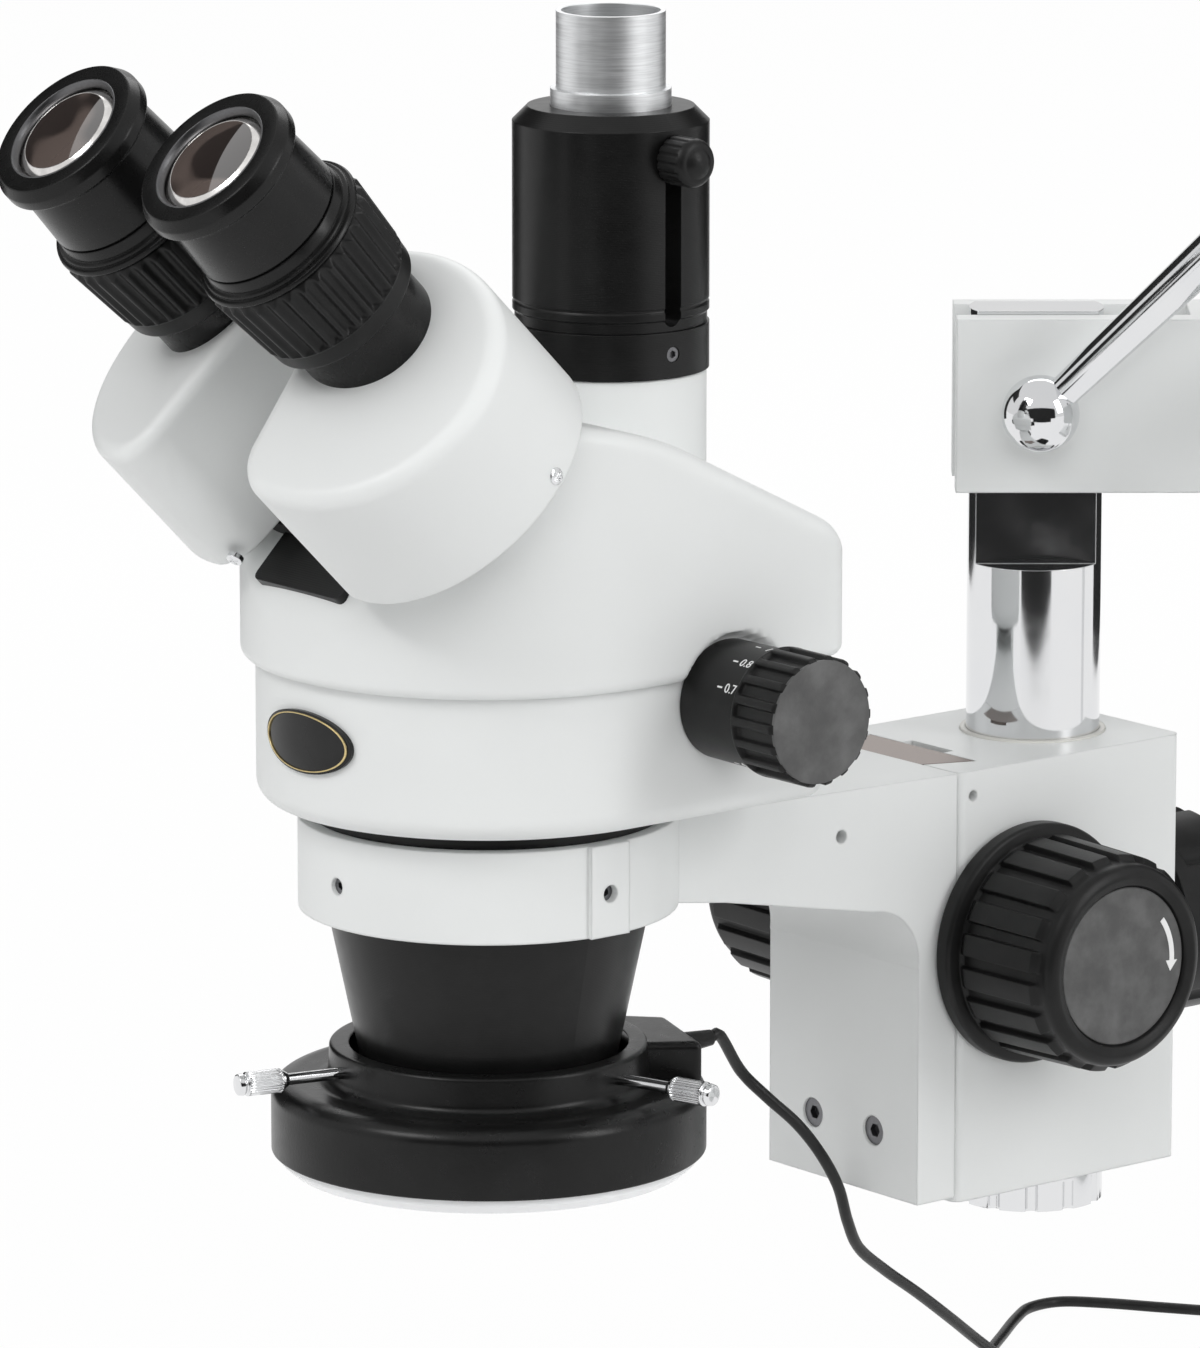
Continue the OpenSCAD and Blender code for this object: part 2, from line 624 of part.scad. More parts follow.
// The two screws of the drum plate and the set screw of the port's base ring.
module head_screws() color("silver") {
    in_drum(0) translate([0, 4, plate_top]) for (j = [-1, 1])
        translate([0, j * 12, 0]) rim_disc(2.6, 1, 0.5);
    at_port(port_low + 5.4) difference() {
        hole_x(1.75, port_r - 4, 3.7);
        translate([port_r - 1.2, 0, 0]) rotate([0, 90, 0]) cylinder(r = 0.9, h = 3, $fn = 6);
    }
}

module diopter_ring() difference() {
    union() {
        translate([0, 0, 8]) cylinder(r = 18.8, h = 8);
        translate([0, 0, 15]) cylinder(r = 18.4, h = 16);
        for (i = [0 : flutes - 1]) rotate(i * 360 / flutes) translate([17.4, -1.5, 15]) cube([2, 3, 13.6]);
    }
    translate([0, 0, 0]) cylinder(r = tube_r + run_gap, h = 9 + seat);
    translate([0, 0, 0]) cylinder(r = tube_bore_r, h = 60);
}

module diopter_ring_right() color("black") in_eye(1) diopter_ring();
module diopter_ring_left() color("black") in_eye(-1) diopter_ring();

eye_low = 31.2;
eye_top = 63;
module eyepiece() rotate_extrude() difference() {
    union() {
        translate([0, 4]) square([tube_bore_r - run_gap, eye_low - 3]);
        translate([0, eye_low]) square([18, 3.4]);
        translate([0, eye_low + 3]) square([17.3, 3.2]);
        translate([0, eye_low + 6]) square([barrel_r, 18]);
        translate([0, 54.6]) square([cup_r - 0.8, 3]);
        translate([0, 56]) square([cup_r, 5.4]);
        translate([0, 60]) square([cup_r - 1.6, 3]);
        translate([cup_r - 1.6, 61.4]) circle(1.6);
    }
    translate([-50, 0]) square([50 + 12.6, 100]);
    translate([0, 58.4]) square([14.6, 20]);
    translate([0, 61.2]) polygon([[0, 0], [14.6, 0], [16.2, 1.8], [16.2, 9], [0, 9]]);
}

module eyepiece_right() color("black") in_eye(1) eyepiece();
module eyepiece_left() color("black") in_eye(-1) eyepiece();

// Plano-convex eye lens seated in the eyepiece, and the field lens lower down.
module eye_lenses() {
    translate([0, 0, 58.42]) intersection() {
        cylinder(r = 14.5, h = 6);
        translate([0, 0, -32]) sphere(35);
    }
    translate([0, 0, 8]) cylinder(r = 12.5, h = 4);
}

module eye_lenses_right() color("lightblue", 0.5) in_eye(1) eye_lenses();
module eye_lenses_left() color("lightblue", 0.5) in_eye(-1) eye_lenses();

// ---- photo port ---------------------------------------------------------

module at_port(z) in_head() translate([0, port_y, z]) children();

module port_base() color("black") difference() {
    at_port(port_low) tube(port_r, guide_r + 0.2, sleeve_low - port_low - 0.05);
    at_port(port_low + 5.4) hole_x(1.8, 10, 20);
}

module port_sleeve() color("black") difference() {
    at_port(sleeve_low) rotate_extrude() difference() {
        polygon([
            [guide_r + run_gap, 0], [port_r - 0.5, 0], [port_r - 0.5, 2.4], [port_r, 2.9],
            [port_r, sleeve_top - sleeve_low - 3.4], [port_r - 3.4, sleeve_top - sleeve_low],
            [guide_r + run_gap, sleeve_top - sleeve_low]
        ]);
        for (z = [1, 5]) translate([port_r + 0.3, z]) circle(0.6);
    }
    at_port(0) translate([0, -slot_w / 2, slot_low]) cube([40, slot_w, knob_z - slot_low]);
    for (z = [slot_low, knob_z]) at_port(z) hole_x(slot_w / 2, 5, 30);
}

module photo_tube() color("silver") at_port(slot_low - 2) difference() {
    union() {
        cylinder(r = photo_d / 2, h = photo_top - slot_low + 2);
        cylinder(r = guide_r, h = sleeve_top + 4 - slot_low + 2);
    }
    translate([0, 0, -1]) cylinder(r = photo_d / 2 - 1.2, h = 100);
    translate([0, 0, knob_z - slot_low + 2]) hole_x(1.6, 5, 20);
}

module photo_knob() color("black") at_port(knob_z) {
    hole_x(1.55, photo_d / 2 - 1, 14);
    hole_x(slot_w / 2 - 0.2, guide_r + 0.1, port_r - guide_r + 1);
    translate([port_r + 0.8, 0, 0]) rotate([0, 90, 0]) {
        difference() {
            rim_disc(5.6, 8, 2);
            for (i = [0 : 15]) rotate(i * 22.5) translate([5.9, 0, -1]) cylinder(r = 0.6, h = 7.6, $fn = 16);
        }
        translate([0, 0, 8 - 0.1]) intersection() {
            cylinder(r = 3.6, h = 2);
            translate([0, 0, -4]) sphere(5.4);
        }
    }
}

// ---- ring light ---------------------------------------------------------

module lamp_housing() color("black") in_head() difference() {
    union() {
        rotate_extrude() union() {
            translate([30, 0]) square([lamp_r - 30, 10]);
            translate([30, 0]) square([lamp_r - 36, 16]);
            translate([lamp_r - 6, 10]) circle(6);
            polygon([[30, 15], [lamp_r - 6, 16], [lamp_r - 10, 17.4], [36.6, 18.4], [36.6, 24.2], [35.8, 25], [30, 25]]);
        }
        translate([-15, 38, 0]) cube([30, 15, 19.8]);
        translate([-15, 34, 15]) cube([30, 12, 8.6]);
    }
    translate([0, 0, -1]) cylinder(r = lamp_bore_r, h = 40);
    translate([0, 0, -1]) tube(lamp_r - 2.4, lamp_bore_r + 1.6, 10);
    for (a = lamp_screws) rotate(a) translate([0, 0, lamp_screw_z + 2]) hole_x(1.55, 25, 20);
    translate([0, 60, 15]) rotate([90, 0, 0]) cylinder(r = 3.02, h = 12);
}

module lamp_board() color("darkgreen") in_head() {
    translate([0, 0, 4.6]) tube(lamp_r - 2.5, lamp_bore_r + 1.7, 1.6);
}

module lamp_diffuser() color("white") in_head() translate([0, 0, -4]) rotate_extrude() difference() {
    union() {
        translate([lamp_bore_r + 1.7, 1.6]) square([lamp_r - lamp_bore_r - 4.2, 6.9]);
        translate([lamp_bore_r + 0.4, 1.6]) square([lamp_r - lamp_bore_r - 2, 2.35]);
        translate([lamp_bore_r + 2, 0]) square([lamp_r - lamp_bore_r - 5.2, 3]);
        translate([lamp_r - 3.2, 1.6]) circle(1.6);
        translate([lamp_bore_r + 2, 1.6]) circle(1.6);
    }
    translate([lamp_bore_r + 3.3, 2]) square([lamp_r - lamp_bore_r - 7.4, 9]);
}

module lamp_screw(i) color("silver") in_head() rotate(lamp_screws[i])
    translate([0, 0, lamp_screw_z + 2]) {
        hole_x(1.5, cone_low_r + seat + 0.5, 51 - cone_low_r);
        translate([50.6, 0, 0]) rotate([0, 90, 0]) difference() {
            rim_disc(2.9, 12, 0.8);
            for (i = [0 : 11]) rotate(i * 30) translate([3.1, 0, 1]) cylinder(r = 0.45, h = 9.5, $fn = 16);
        }
    }

module lamp_screw_left() lamp_screw(0);
module lamp_screw_right() lamp_screw(1);
module lamp_screw_rear() lamp_screw(2);

module lead_relief() color("black") in_head() translate([0, relief_end, 15]) rotate([90, 0, 0]) {
    translate([0, 0, relief_end - 53.1]) cylinder(r = 3, h = 4.6);
    cylinder(r1 = lead_d / 2 + 0.5, r2 = 2.9, h = relief_end - 53);
}

// Start of the lead on the relief's end face, square to it.
lead_start = [for (d = [0, 3]) head_point([0, relief_end + d, 15])];
function head_point(p) = let (c = cos(head_swivel), s = sin(head_swivel), y = p[1] - post_back)
    [c * p[0] + s * y, c * y - s * p[0], p[2] + work_height];

module lead() color("black") translate([-boom_reach, 0, 0])
    sweep(concat(lead_start, lead_air), lead_d / 2, 8);

// Two layers: in on the bench, a climb where the spiral turns back, and out on top.
coil_rings = 24;
plug_at = [coil_centre[0] + 7, coil_centre[1] - coil_out, lead_d / 2 + coil_step];
function coil_r(u) = coil_out - coil_step * (u < coil_turns ? u : 2 * coil_turns - u);
function coil_rise(u) = lead_d / 2 + coil_step * min(1, max(0, (u - coil_turns + 0.25) / 0.5));
coil_points = concat(
    [[coil_centre[0] - lead_d, coil_centre[1] - coil_out, lead_d / 2]],
    [for (i = [0 : 2 * coil_turns * coil_rings]) let (u = i / coil_rings, a = u * 360 - 90)
        [coil_centre[0] + coil_r(u) * cos(a), coil_centre[1] + coil_r(u) * sin(a), coil_rise(u)]],
    [plug_at]
);
// Least gap between turns more than half a turn apart, measured on the coil's own points.
coil_gap = min([for (i = [0 : len(coil_points) - 1], j = [i + 12 : 1 : len(coil_points) - 1])
    norm(coil_points[i] - coil_points[j])]) - lead_d;
echo(str("least gap between the coil's turns: ", coil_gap, " mm"));

module lead_coil() color("black") translate([-boom_reach, 0, 0])
    sweep(concat(lead_bench, coil_points), lead_d / 2, 6);

module lead_plug() color("black") translate([-boom_reach, 0, 0]) translate(plug_at) rotate([0, 90, 0]) {
    cylinder(r1 = lead_d / 2 + 0.6, r2 = 2.6, h = 9);
    translate([0, 0, 9 - eps]) cylinder(r = plug_at[2], h = 20);
    translate([0, 0, 28]) difference() {
        cylinder(r = 2.75, h = 10.5);
        translate([0, 0, 1]) cylinder(r = 1.05, h = 12);
    }
}

// Tube of n sides along a list of points, one ring at each point.
function unit(v) = v / norm(v);
function tangent(p, i) = unit(p[min(i + 1, len(p) - 1)] - p[max(i - 1, 0)]);
function side_dir(t) = unit(cross(t, abs(t[2]) > 0.9 ? [1, 0, 0] : [0, 0, 1]));
function ring_at(p, i, r, n) = let (t = tangent(p, i), a = side_dir(t), b = cross(t, a))
    [for (k = [0 : n - 1]) p[i] + r * (cos(k * 360 / n) * a + sin(k * 360 / n) * b)];
module sweep(p, r, n) {
    last = (len(p) - 1) * n;
    polyhedron(
        [for (i = [0 : len(p) - 1]) each ring_at(p, i, r, n)],
        concat(
            [[for (k = [0 : n - 1]) k]],
            [[for (k = [n - 1 : -1 : 0]) last + k]],
            [for (i = [0 : len(p) - 2], k = [0 : n - 1]) let (j = (k + 1) % n)
                [i * n + k, (i + 1) * n + k, (i + 1) * n + j]],
            [for (i = [0 : len(p) - 2], k = [0 : n - 1]) let (j = (k + 1) % n)
                [i * n + k, (i + 1) * n + j, i * n + j]]
        )
    );
}

base();
feet();
pillar();
pillar_cap();
height_collar();
collar_knob();
cross_block();
swing_knob();
slide_knob();
boom_rods();
end_plate();
fork();
tilt_pin();
tilt_lever();
post();
post_stop();
post_bush();
focus_block();
post_clamp_knob();
pinion_shaft();
focus_knob_right();
focus_knob_left();
focus_caps();
slide_bar();
bracket();
bracket_screws();
ring_screws();
mount_barrel();
objective_shroud();
objective_lenses();
lower_shell();
upper_shell();
badge();
zoom_shaft();
zoom_knob_right();
zoom_knob_left();
drum_plate();
prism_drum_right();
prism_drum_left();
head_screws();
diopter_ring_right();
diopter_ring_left();
eyepiece_right();
eyepiece_left();
eye_lenses_right();
eye_lenses_left();
port_base();
port_sleeve();
photo_tube();
photo_knob();
lamp_housing();
lamp_board();
lamp_diffuser();
lamp_screw_left();
lamp_screw_right();
lamp_screw_rear();
lead_relief();
lead();
lead_coil();
lead_plug();
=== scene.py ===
"""Looks of a trinocular zoom stereo microscope with a ring light on a two-rod boom stand.

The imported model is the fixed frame. Pieces are worked out in local millimetres on frames taken
from its joints and placed in metres. Each operator makes one group of pieces.
"""

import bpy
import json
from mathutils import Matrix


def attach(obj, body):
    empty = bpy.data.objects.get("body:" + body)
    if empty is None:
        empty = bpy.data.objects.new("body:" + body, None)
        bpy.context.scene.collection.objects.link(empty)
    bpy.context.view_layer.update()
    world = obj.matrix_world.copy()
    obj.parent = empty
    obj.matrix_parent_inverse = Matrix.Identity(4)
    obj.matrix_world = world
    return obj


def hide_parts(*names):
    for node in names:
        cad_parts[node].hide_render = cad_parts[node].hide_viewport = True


bl_info = {
    "name": "Stereo microscope on a boom stand",
    "version": (1, 0, 0),
    "blender": (4, 5, 0),
    "location": "View3D > Sidebar > Microscope",
    "description": "Builds the finished surfaces of a stereo microscope on its packed frame",
    "category": "Object",
}

import json
from math import cos, pi, radians, sin

import bmesh
import bpy
import numpy as np
from bpy.props import FloatProperty, FloatVectorProperty, PointerProperty
from mathutils import Vector

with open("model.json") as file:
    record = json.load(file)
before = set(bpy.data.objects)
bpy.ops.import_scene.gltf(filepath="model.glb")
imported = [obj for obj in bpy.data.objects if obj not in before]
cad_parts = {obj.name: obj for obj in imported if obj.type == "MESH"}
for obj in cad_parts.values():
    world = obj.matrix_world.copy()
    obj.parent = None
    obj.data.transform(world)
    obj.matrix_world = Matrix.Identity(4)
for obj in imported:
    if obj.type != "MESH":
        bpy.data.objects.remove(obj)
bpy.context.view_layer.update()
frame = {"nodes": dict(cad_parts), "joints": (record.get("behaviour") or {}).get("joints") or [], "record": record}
NODES = frame["nodes"]
JOINTS = {joint["name"]: joint for joint in frame["joints"]}
MM = 0.001


# ---- frames on the model ----


class Place:
    """An origin and unit axes, the model's own by default. Calling it turns local millimetres to metres."""

    def __init__(self, origin, x=(1, 0, 0), y=(0, 1, 0), z=(0, 0, 1)):
        self.origin = np.array(origin, float)
        self.axes = np.array([x, y, z], float)

    def __call__(self, points):
        return self.origin + MM * (np.asarray(points, float) @ self.axes)

    def at(self, x, y, z):
        """The same axes at another local point."""
        return Place(self((x, y, z)), *self.axes)

    def facing(self, z, x):
        """Axes turned so that local z and x point along the given local directions."""
        z, x = np.array(z, float) @ self.axes, np.array(x, float) @ self.axes
        return Place(self.origin, x, np.cross(z, x), z)


UP = np.array([0, 0, 1.0])
RIGHT = np.array(JOINTS["zoom_turn"]["axis"], float)
BACK = np.cross(UP, RIGHT)
HEAD = Place(JOINTS["ring_light_turn"]["pos_m"], RIGHT, BACK, UP)
POST = JOINTS["head_swing"]["pos_m"]


def on_axis(joint):
    """Frame of a drum or eyepiece: z along its axis towards the eye, x to the user's right."""
    z = np.array(JOINTS[joint]["axis"], float)
    return Place(JOINTS[joint]["pos_m"], RIGHT, np.cross(z, RIGHT), z)


SIDES = (("right", 1), ("left", -1))
DRUM = {side: on_axis(f"drum_{side}_fold") for side, _ in SIDES}
EYE = {side: on_axis(f"diopter_{side}_turn") for side, _ in SIDES}


# ---- surfaces ----


def rounded(corners, steps=6):
    """Open outline through corners (a, b, fillet): each fillet is the arc that touches both sides."""
    line = []
    for i, (a, b, fillet) in enumerate(corners):
        here = np.array([a, b], float)
        if fillet <= 0 or i in (0, len(corners) - 1):
            line.append(here[None])
            continue
        before, after = np.array(corners[i - 1][:2], float), np.array(corners[i + 1][:2], float)
        u, w = before - here, after - here
        u, w = u / np.linalg.norm(u), w / np.linalg.norm(w)
        half = np.arccos(np.clip(u @ w, -1, 1)) / 2
        middle = here + (u + w) / np.linalg.norm(u + w) * fillet / np.sin(half)
        start = here + u * fillet / np.tan(half) - middle
        end = here + w * fillet / np.tan(half) - middle
        turn = np.arctan2(start[0] * end[1] - start[1] * end[0], start @ end)
        t = np.linspace(0, turn, steps + 1)[:, None]
        line.append(middle + start * np.cos(t) + np.array([-start[1], start[0]]) * np.sin(t))
    return np.concatenate(line)


def ring_of(corners, steps=6):
    """Closed outline of rounded corners."""
    line = rounded([corners[-1], *corners, corners[0]], steps)
    return line[1:-1]


def turned(profile, segments=96, shape=None):
    """Surface of revolution: (r, z) at angle t is (r cos t, r sin t, z). Shape(r, t, z) changes r."""
    t = np.linspace(0, 2 * pi, segments, endpoint=False)[None, :]
    r, z = profile[:, :1] + 0 * t, profile[:, 1:] + 0 * t
    r = shape(r, t, z) if shape else r
    return np.stack([r * np.cos(t), r * np.sin(t), z], 2)


def finer(line, spacing, closed=True):
    """The same outline with more points: its own, and one at every spacing along it."""
    line = np.concatenate([line, line[:1]]) if closed else line
    along = np.concatenate([[0], np.cumsum(np.linalg.norm(np.diff(line, axis=0), axis=1))])
    stops = np.unique(np.round(np.concatenate([along, np.arange(0, along[-1], spacing)]), 3))
    stops = stops[:-1] if closed else stops
    return np.column_stack([np.interp(stops, along, line[:, k]) for k in (0, 1)])


def capped(rows):
    """Rows of a grid with both ends closed to their middle points."""
    ends = [np.repeat(rows[i : i + 1].mean(1, keepdims=True), rows.shape[1], 1) for i in (0, len(rows) - 1)]
    return np.concatenate([ends[0], rows, ends[1]])


def swept(path, radius, sides=10):
    """Tube along a path: each ring stands square to the path, in axes carried along it untwisted."""
    path = np.asarray(path, float)
    ahead = np.gradient(path, axis=0)
    ahead /= np.linalg.norm(ahead, axis=1)[:, None]
    side = np.cross(ahead, (0, 0, 1.0))
    flat = np.linalg.norm(side, axis=1) < 0.05
    side[flat] = np.cross(ahead[flat], (1.0, 0, 0))
    side /= np.linalg.norm(side, axis=1)[:, None]
    other = np.cross(ahead, side)
    t = np.linspace(0, 2 * pi, sides, endpoint=False)[None, :, None]
    r = np.asarray(radius, float).reshape(-1, 1, 1)
    return path[:, None] + r * (side[:, None] * np.cos(t) + other[:, None] * np.sin(t))


def smooth_path(points, spacing=1.5):
    """Cubic through the points: between b and c its ends' slopes are (c - a) / 2 and (d - b) / 2."""
    p = np.asarray(points, float)
    p = np.concatenate([[2 * p[0] - p[1]], p, [2 * p[-1] - p[-2]]])
    line = []
    for a, b, c, d in zip(p, p[1:], p[2:], p[3:]):
        t = np.linspace(0, 1, max(2, int(np.linalg.norm(c - b) / spacing) + 1), endpoint=False)[:, None]
        square, cube = 2 * a - 5 * b + 4 * c - d, 3 * b - a - 3 * c + d
        line.append(0.5 * (2 * b + (c - a) * t + square * t**2 + cube * t**3))
    return np.concatenate([*line, p[-2:-1]])


def mesh_of(grids, place, wrap):
    """One mesh in metres from grids (rows, columns, 3). Columns close on themselves, rows if wrap is true."""
    points, faces, first = [], [], 0
    for grid in grids:
        rows, columns = grid.shape[:2]
        down = rows if wrap else rows - 1
        i, j = np.meshgrid(np.arange(down), np.arange(columns), indexing="ij")
        a = i * columns + j
        b = i * columns + (j + 1) % columns
        c = (i + 1) % rows * columns + (j + 1) % columns
        d = (i + 1) % rows * columns + j
        faces.append(first + np.stack([a, b, c, d], 2).reshape(-1, 4))
        points.append(grid.reshape(-1, 3))
        first += rows * columns
    mesh = bpy.data.meshes.new("surface")
    mesh.from_pydata(place(np.concatenate(points)), [], np.concatenate(faces))
    return mesh


def tidy(mesh, sharp=35, merge=2e-6):
    """Merged poles and seams, outward faces, and smooth shading up to the sharp angle in degrees."""
    work = bmesh.new()
    work.from_mesh(mesh)
    bmesh.ops.remove_doubles(work, verts=work.verts, dist=merge)
    bmesh.ops.dissolve_degenerate(work, edges=work.edges, dist=1e-7)
    bmesh.ops.recalc_face_normals(work, faces=work.faces)
    work.to_mesh(mesh)
    work.free()
    mesh.polygons.foreach_set("use_smooth", np.ones(len(mesh.polygons), bool))
    mesh.set_sharp_from_angle(angle=radians(sharp))


def piece(name, grids, place, body, slot, finish=None, stands_for=(), wrap=False, sharp=35):
    """A finished piece from its grids: smooth up to the sharp angle, riding on its body."""
    mesh = mesh_of(grids if isinstance(grids, list) else [grids], place, wrap)
    tidy(mesh, sharp)
    return add_piece(name, mesh, body, slot, finish, stands_for)


def add_piece(name, mesh, body, slot, finish=None, stands_for=()):
    """A mesh as a piece of a body, in the slot's finish or another, for the nodes that it stands for."""
    mesh.name = name
    mesh.materials.append(MATERIALS[finish or SHARED_FINISH.get(slot, slot)])
    thing = bpy.data.objects.new(name, mesh)
    bpy.context.scene.collection.objects.link(thing)
    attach(thing, body)
    if stands_for:
        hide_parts(*stands_for)
    return thing


# ---- materials ----


class Value:
    """A number that changes over a surface. Arithmetic on it adds Math nodes."""

    def __init__(self, recipe, socket):
        self.recipe = recipe
        self.socket = socket

    def _math(self, operation, *terms):
        return self.recipe.node("ShaderNodeMath", {"operation": operation}, dict(enumerate(terms)))

    def __add__(self, other):
        return self._math("ADD", self, other)

    def __mul__(self, other):
        return self._math("MULTIPLY", self, other)

    def __gt__(self, other):
        return self._math("GREATER_THAN", self, other)

    __radd__, __rmul__ = __add__, __mul__

    def wave(self, period):
        """Sine of the value that repeats every period."""
        return self._math("SINE", self * (2 * pi / period))

    def ramp(self, low, high):
        """0 below low, 1 above high, smooth between."""
        inputs = {"Value": self, "From Min": low, "From Max": high}
        return self.recipe.node("ShaderNodeMapRange", {"interpolation_type": "SMOOTHSTEP"}, inputs)


class Recipe:
    """A material in the making. Positions are in metres on the object."""

    def __init__(self, name, colour, roughness, **settings):
        self.material = bpy.data.materials.new(name)
        self.material.use_nodes = True
        self.tree = self.material.node_tree
        self.tree.nodes.clear()
        out = self.tree.nodes.new("ShaderNodeOutputMaterial")
        self.shader = self.tree.nodes.new("ShaderNodeBsdfPrincipled")
        self.tree.links.new(self.shader.outputs[0], out.inputs["Surface"])
        self.material.diffuse_color = (*colour[:3], 1)
        self.set(Base_Color=(*colour[:3], 1), Roughness=roughness, **settings)
        self.position = self.node("ShaderNodeTexCoord", out="Object")

    def set(self, **sockets):
        for key, value in sockets.items():
            self._fill(self.shader.inputs[key.replace("_", " ")], value)

    def _fill(self, socket, value):
        if isinstance(value, Value):
            self.tree.links.new(value.socket, socket)
        else:
            socket.default_value = value

    def node(self, kind, settings=None, inputs=None, out=0):
        """Adds a node: its settings first, then the values or links of its sockets."""
        made = self.tree.nodes.new(kind)
        for key, value in (settings or {}).items():
            setattr(made, key, value)
        for key, value in (inputs or {}).items():
            self._fill(made.inputs[key], value)
        return Value(self, made.outputs[out])

    def axis(self, direction, origin=(0, 0, 0)):
        """Distance in metres from the origin along a direction."""
        kind = "ShaderNodeVectorMath"
        moved = self.node(kind, {"operation": "SUBTRACT"}, {0: self.position, 1: tuple(origin)})
        return self.node(kind, {"operation": "DOT_PRODUCT"}, {0: moved, 1: tuple(direction)}, out="Value")

    def noise(self, size, detail=3, roughness=0.55, stretch=(1, 1, 1)):
        """Cloud noise from 0 to 1 with grains of about the given size in metres."""
        where = self.node("ShaderNodeVectorMath", {"operation": "MULTIPLY"}, {0: self.position, 1: stretch})
        inputs = {"Vector": where, "Scale": 1 / size, "Detail": detail, "Roughness": roughness}
        return self.node("ShaderNodeTexNoise", {}, inputs)

    def blend(self, factor, low, high):
        """Colour between two colours."""
        made = self.tree.nodes.new("ShaderNodeMix")
        made.data_type = "RGBA"
        self._fill(made.inputs[0], factor)
        for socket, value in ((made.inputs[6], low), (made.inputs[7], high)):
            self._fill(socket, value if isinstance(value, Value) else (*value[:3], 1))
        return Value(self, made.outputs[2])

    def surface(self, height=None, depth=0.0001, strength=1.0, edge=0.0004):
        """Normals: edges softened over the edge radius, with a relief of the given height on top."""
        normal = self.node("ShaderNodeBevel", {"samples": 4}, {"Radius": edge}) if edge else None
        if height is not None:
            inputs = {"Strength": strength, "Distance": depth, "Height": height}
            if normal:
                inputs["Normal"] = normal
            normal = self.node("ShaderNodeBump", {}, inputs)
        self.set(Normal=normal)


def grey(level):
    return (level, level, level)


def white_enamel(name="white_enamel", colour=None, edge=0.0008):
    """Satin white stove enamel: faint orange peel, a breath of colour change, and edges softened in shading."""
    colour = colour or bpy.context.scene.microscope.enamel
    r = Recipe(name, colour, 0.42, Specular_IOR_Level=0.45)
    cloud = r.noise(0.035, 2)
    peel = r.noise(0.0011, 2)
    r.set(Base_Color=r.blend(cloud.ramp(0.3, 0.7), [c * 0.985 for c in colour], colour))
    r.set(Roughness=0.38 + 0.08 * r.noise(0.006, 2))
    r.surface(peel, 0.00003, 0.35, edge)
    return r.material


def black_satin(name, level=0.007, roughness=0.3, edge=0.0003, grain=0.0006, depth=0.00002, turning=None):
    """Black anodised or painted metal: fine grain, cloudy greys, and turning marks along an axis."""
    r = Recipe(name, grey(level), roughness, Specular_IOR_Level=0.27)
    fine = r.noise(grain, 3)
    cloud = r.noise(0.012, 3)
    r.set(Base_Color=r.blend(cloud.ramp(0.25, 0.8), grey(level * 0.8), grey(level * 1.35)))
    height = fine
    if turning is not None:
        height = fine * 0.5 + 0.5 * r.axis(turning).wave(0.0004)
    r.set(Roughness=roughness - 0.05 + 0.12 * r.noise(0.004, 3))
    r.surface(height, depth, 0.5, edge)
    return r.material


def moulded_black(name, level=0.009, roughness=0.36):
    """Moulded black plastic or rubber: spark-eroded grain and worn, slightly paler high spots."""
    r = Recipe(name, grey(level), roughness, Specular_IOR_Level=0.24)
    grain = r.noise(0.00045, 2, 0.7)
    r.set(Base_Color=r.blend(r.noise(0.009, 4).ramp(0.3, 0.8), grey(level * 0.85), grey(level * 1.5)))
    r.set(Roughness=roughness - 0.06 + 0.14 * grain)
    r.surface(grain, 0.00005, 0.55, 0.0005)
    return r.material


def chrome_plate():
    """Bright chrome over ground steel: faint lengthwise draw marks and the odd dull patch."""
    r = Recipe("chrome_plate", grey(0.78), 0.08, Metallic=1.0)
    smear = r.noise(0.02, 3)
    r.set(Roughness=0.05 + 0.07 * smear.ramp(0.4, 0.8))
    r.set(Base_Color=r.blend(smear, (0.72, 0.73, 0.75), (0.82, 0.82, 0.82)))
    r.surface(r.noise(0.0008, 2, 0.5, (1, 1, 0.04)), 0.000004, 0.4, 0.0003)
    return r.material


def brushed_metal(name, colour, roughness, stretch=(1, 1, 1), grain=0.0004, depth=0.00002):
    """Metal brushed one way: noise stretched along the brushing."""
    r = Recipe(name, colour, roughness, Metallic=1.0)
    lines = r.noise(grain, 3, 0.6, stretch)
    dull, bright = [c * 0.86 for c in colour], [min(1, c * 1.06) for c in colour]
    r.set(Base_Color=r.blend(lines.ramp(0.3, 0.7), dull, bright))
    r.set(Roughness=roughness - 0.08 + 0.2 * lines)
    r.surface(lines, depth, 0.5, 0.0003)
    return r.material


def lens_glass():
    """Coated eye lens over a dark barrel: dark brown with painted paler patches of reflection, a bright clear
    coat, and a painted sheen where the glass is seen at a grazing angle.
    """
    r = Recipe("lens_glass", (0.02, 0.014, 0.011), 0.03, Specular_IOR_Level=1.0, Coat_Weight=1.0)
    r.set(Coat_Roughness=0.02, Coat_IOR=1.9)
    # Painted sheen: the colour turns paler where the glass is seen at a grazing angle.
    rim = r.node("ShaderNodeLayerWeight", {}, {"Blend": 0.35}, out="Facing")
    # Painted reflection: paler brown noise patches over the dark brown glass.
    inner = r.blend(r.noise(0.011, 0).ramp(0.5, 0.62), (0.012, 0.008, 0.007), (0.13, 0.1, 0.088))
    r.set(Base_Color=r.blend(rim.ramp(0.1, 0.9), inner, (0.06, 0.045, 0.04)))
    return r.material


def frosted_white():
    """Opal diffuser over the lamps."""
    r = Recipe("frosted_white", (0.9, 0.91, 0.92), 0.3, Coat_Weight=0.4)
    r.set(Base_Color=r.blend(r.noise(0.01, 2), (0.86, 0.87, 0.88), (0.93, 0.94, 0.95)))
    r.surface(r.noise(0.001, 2), 0.00002, 0.3, 0.0004)
    return r.material


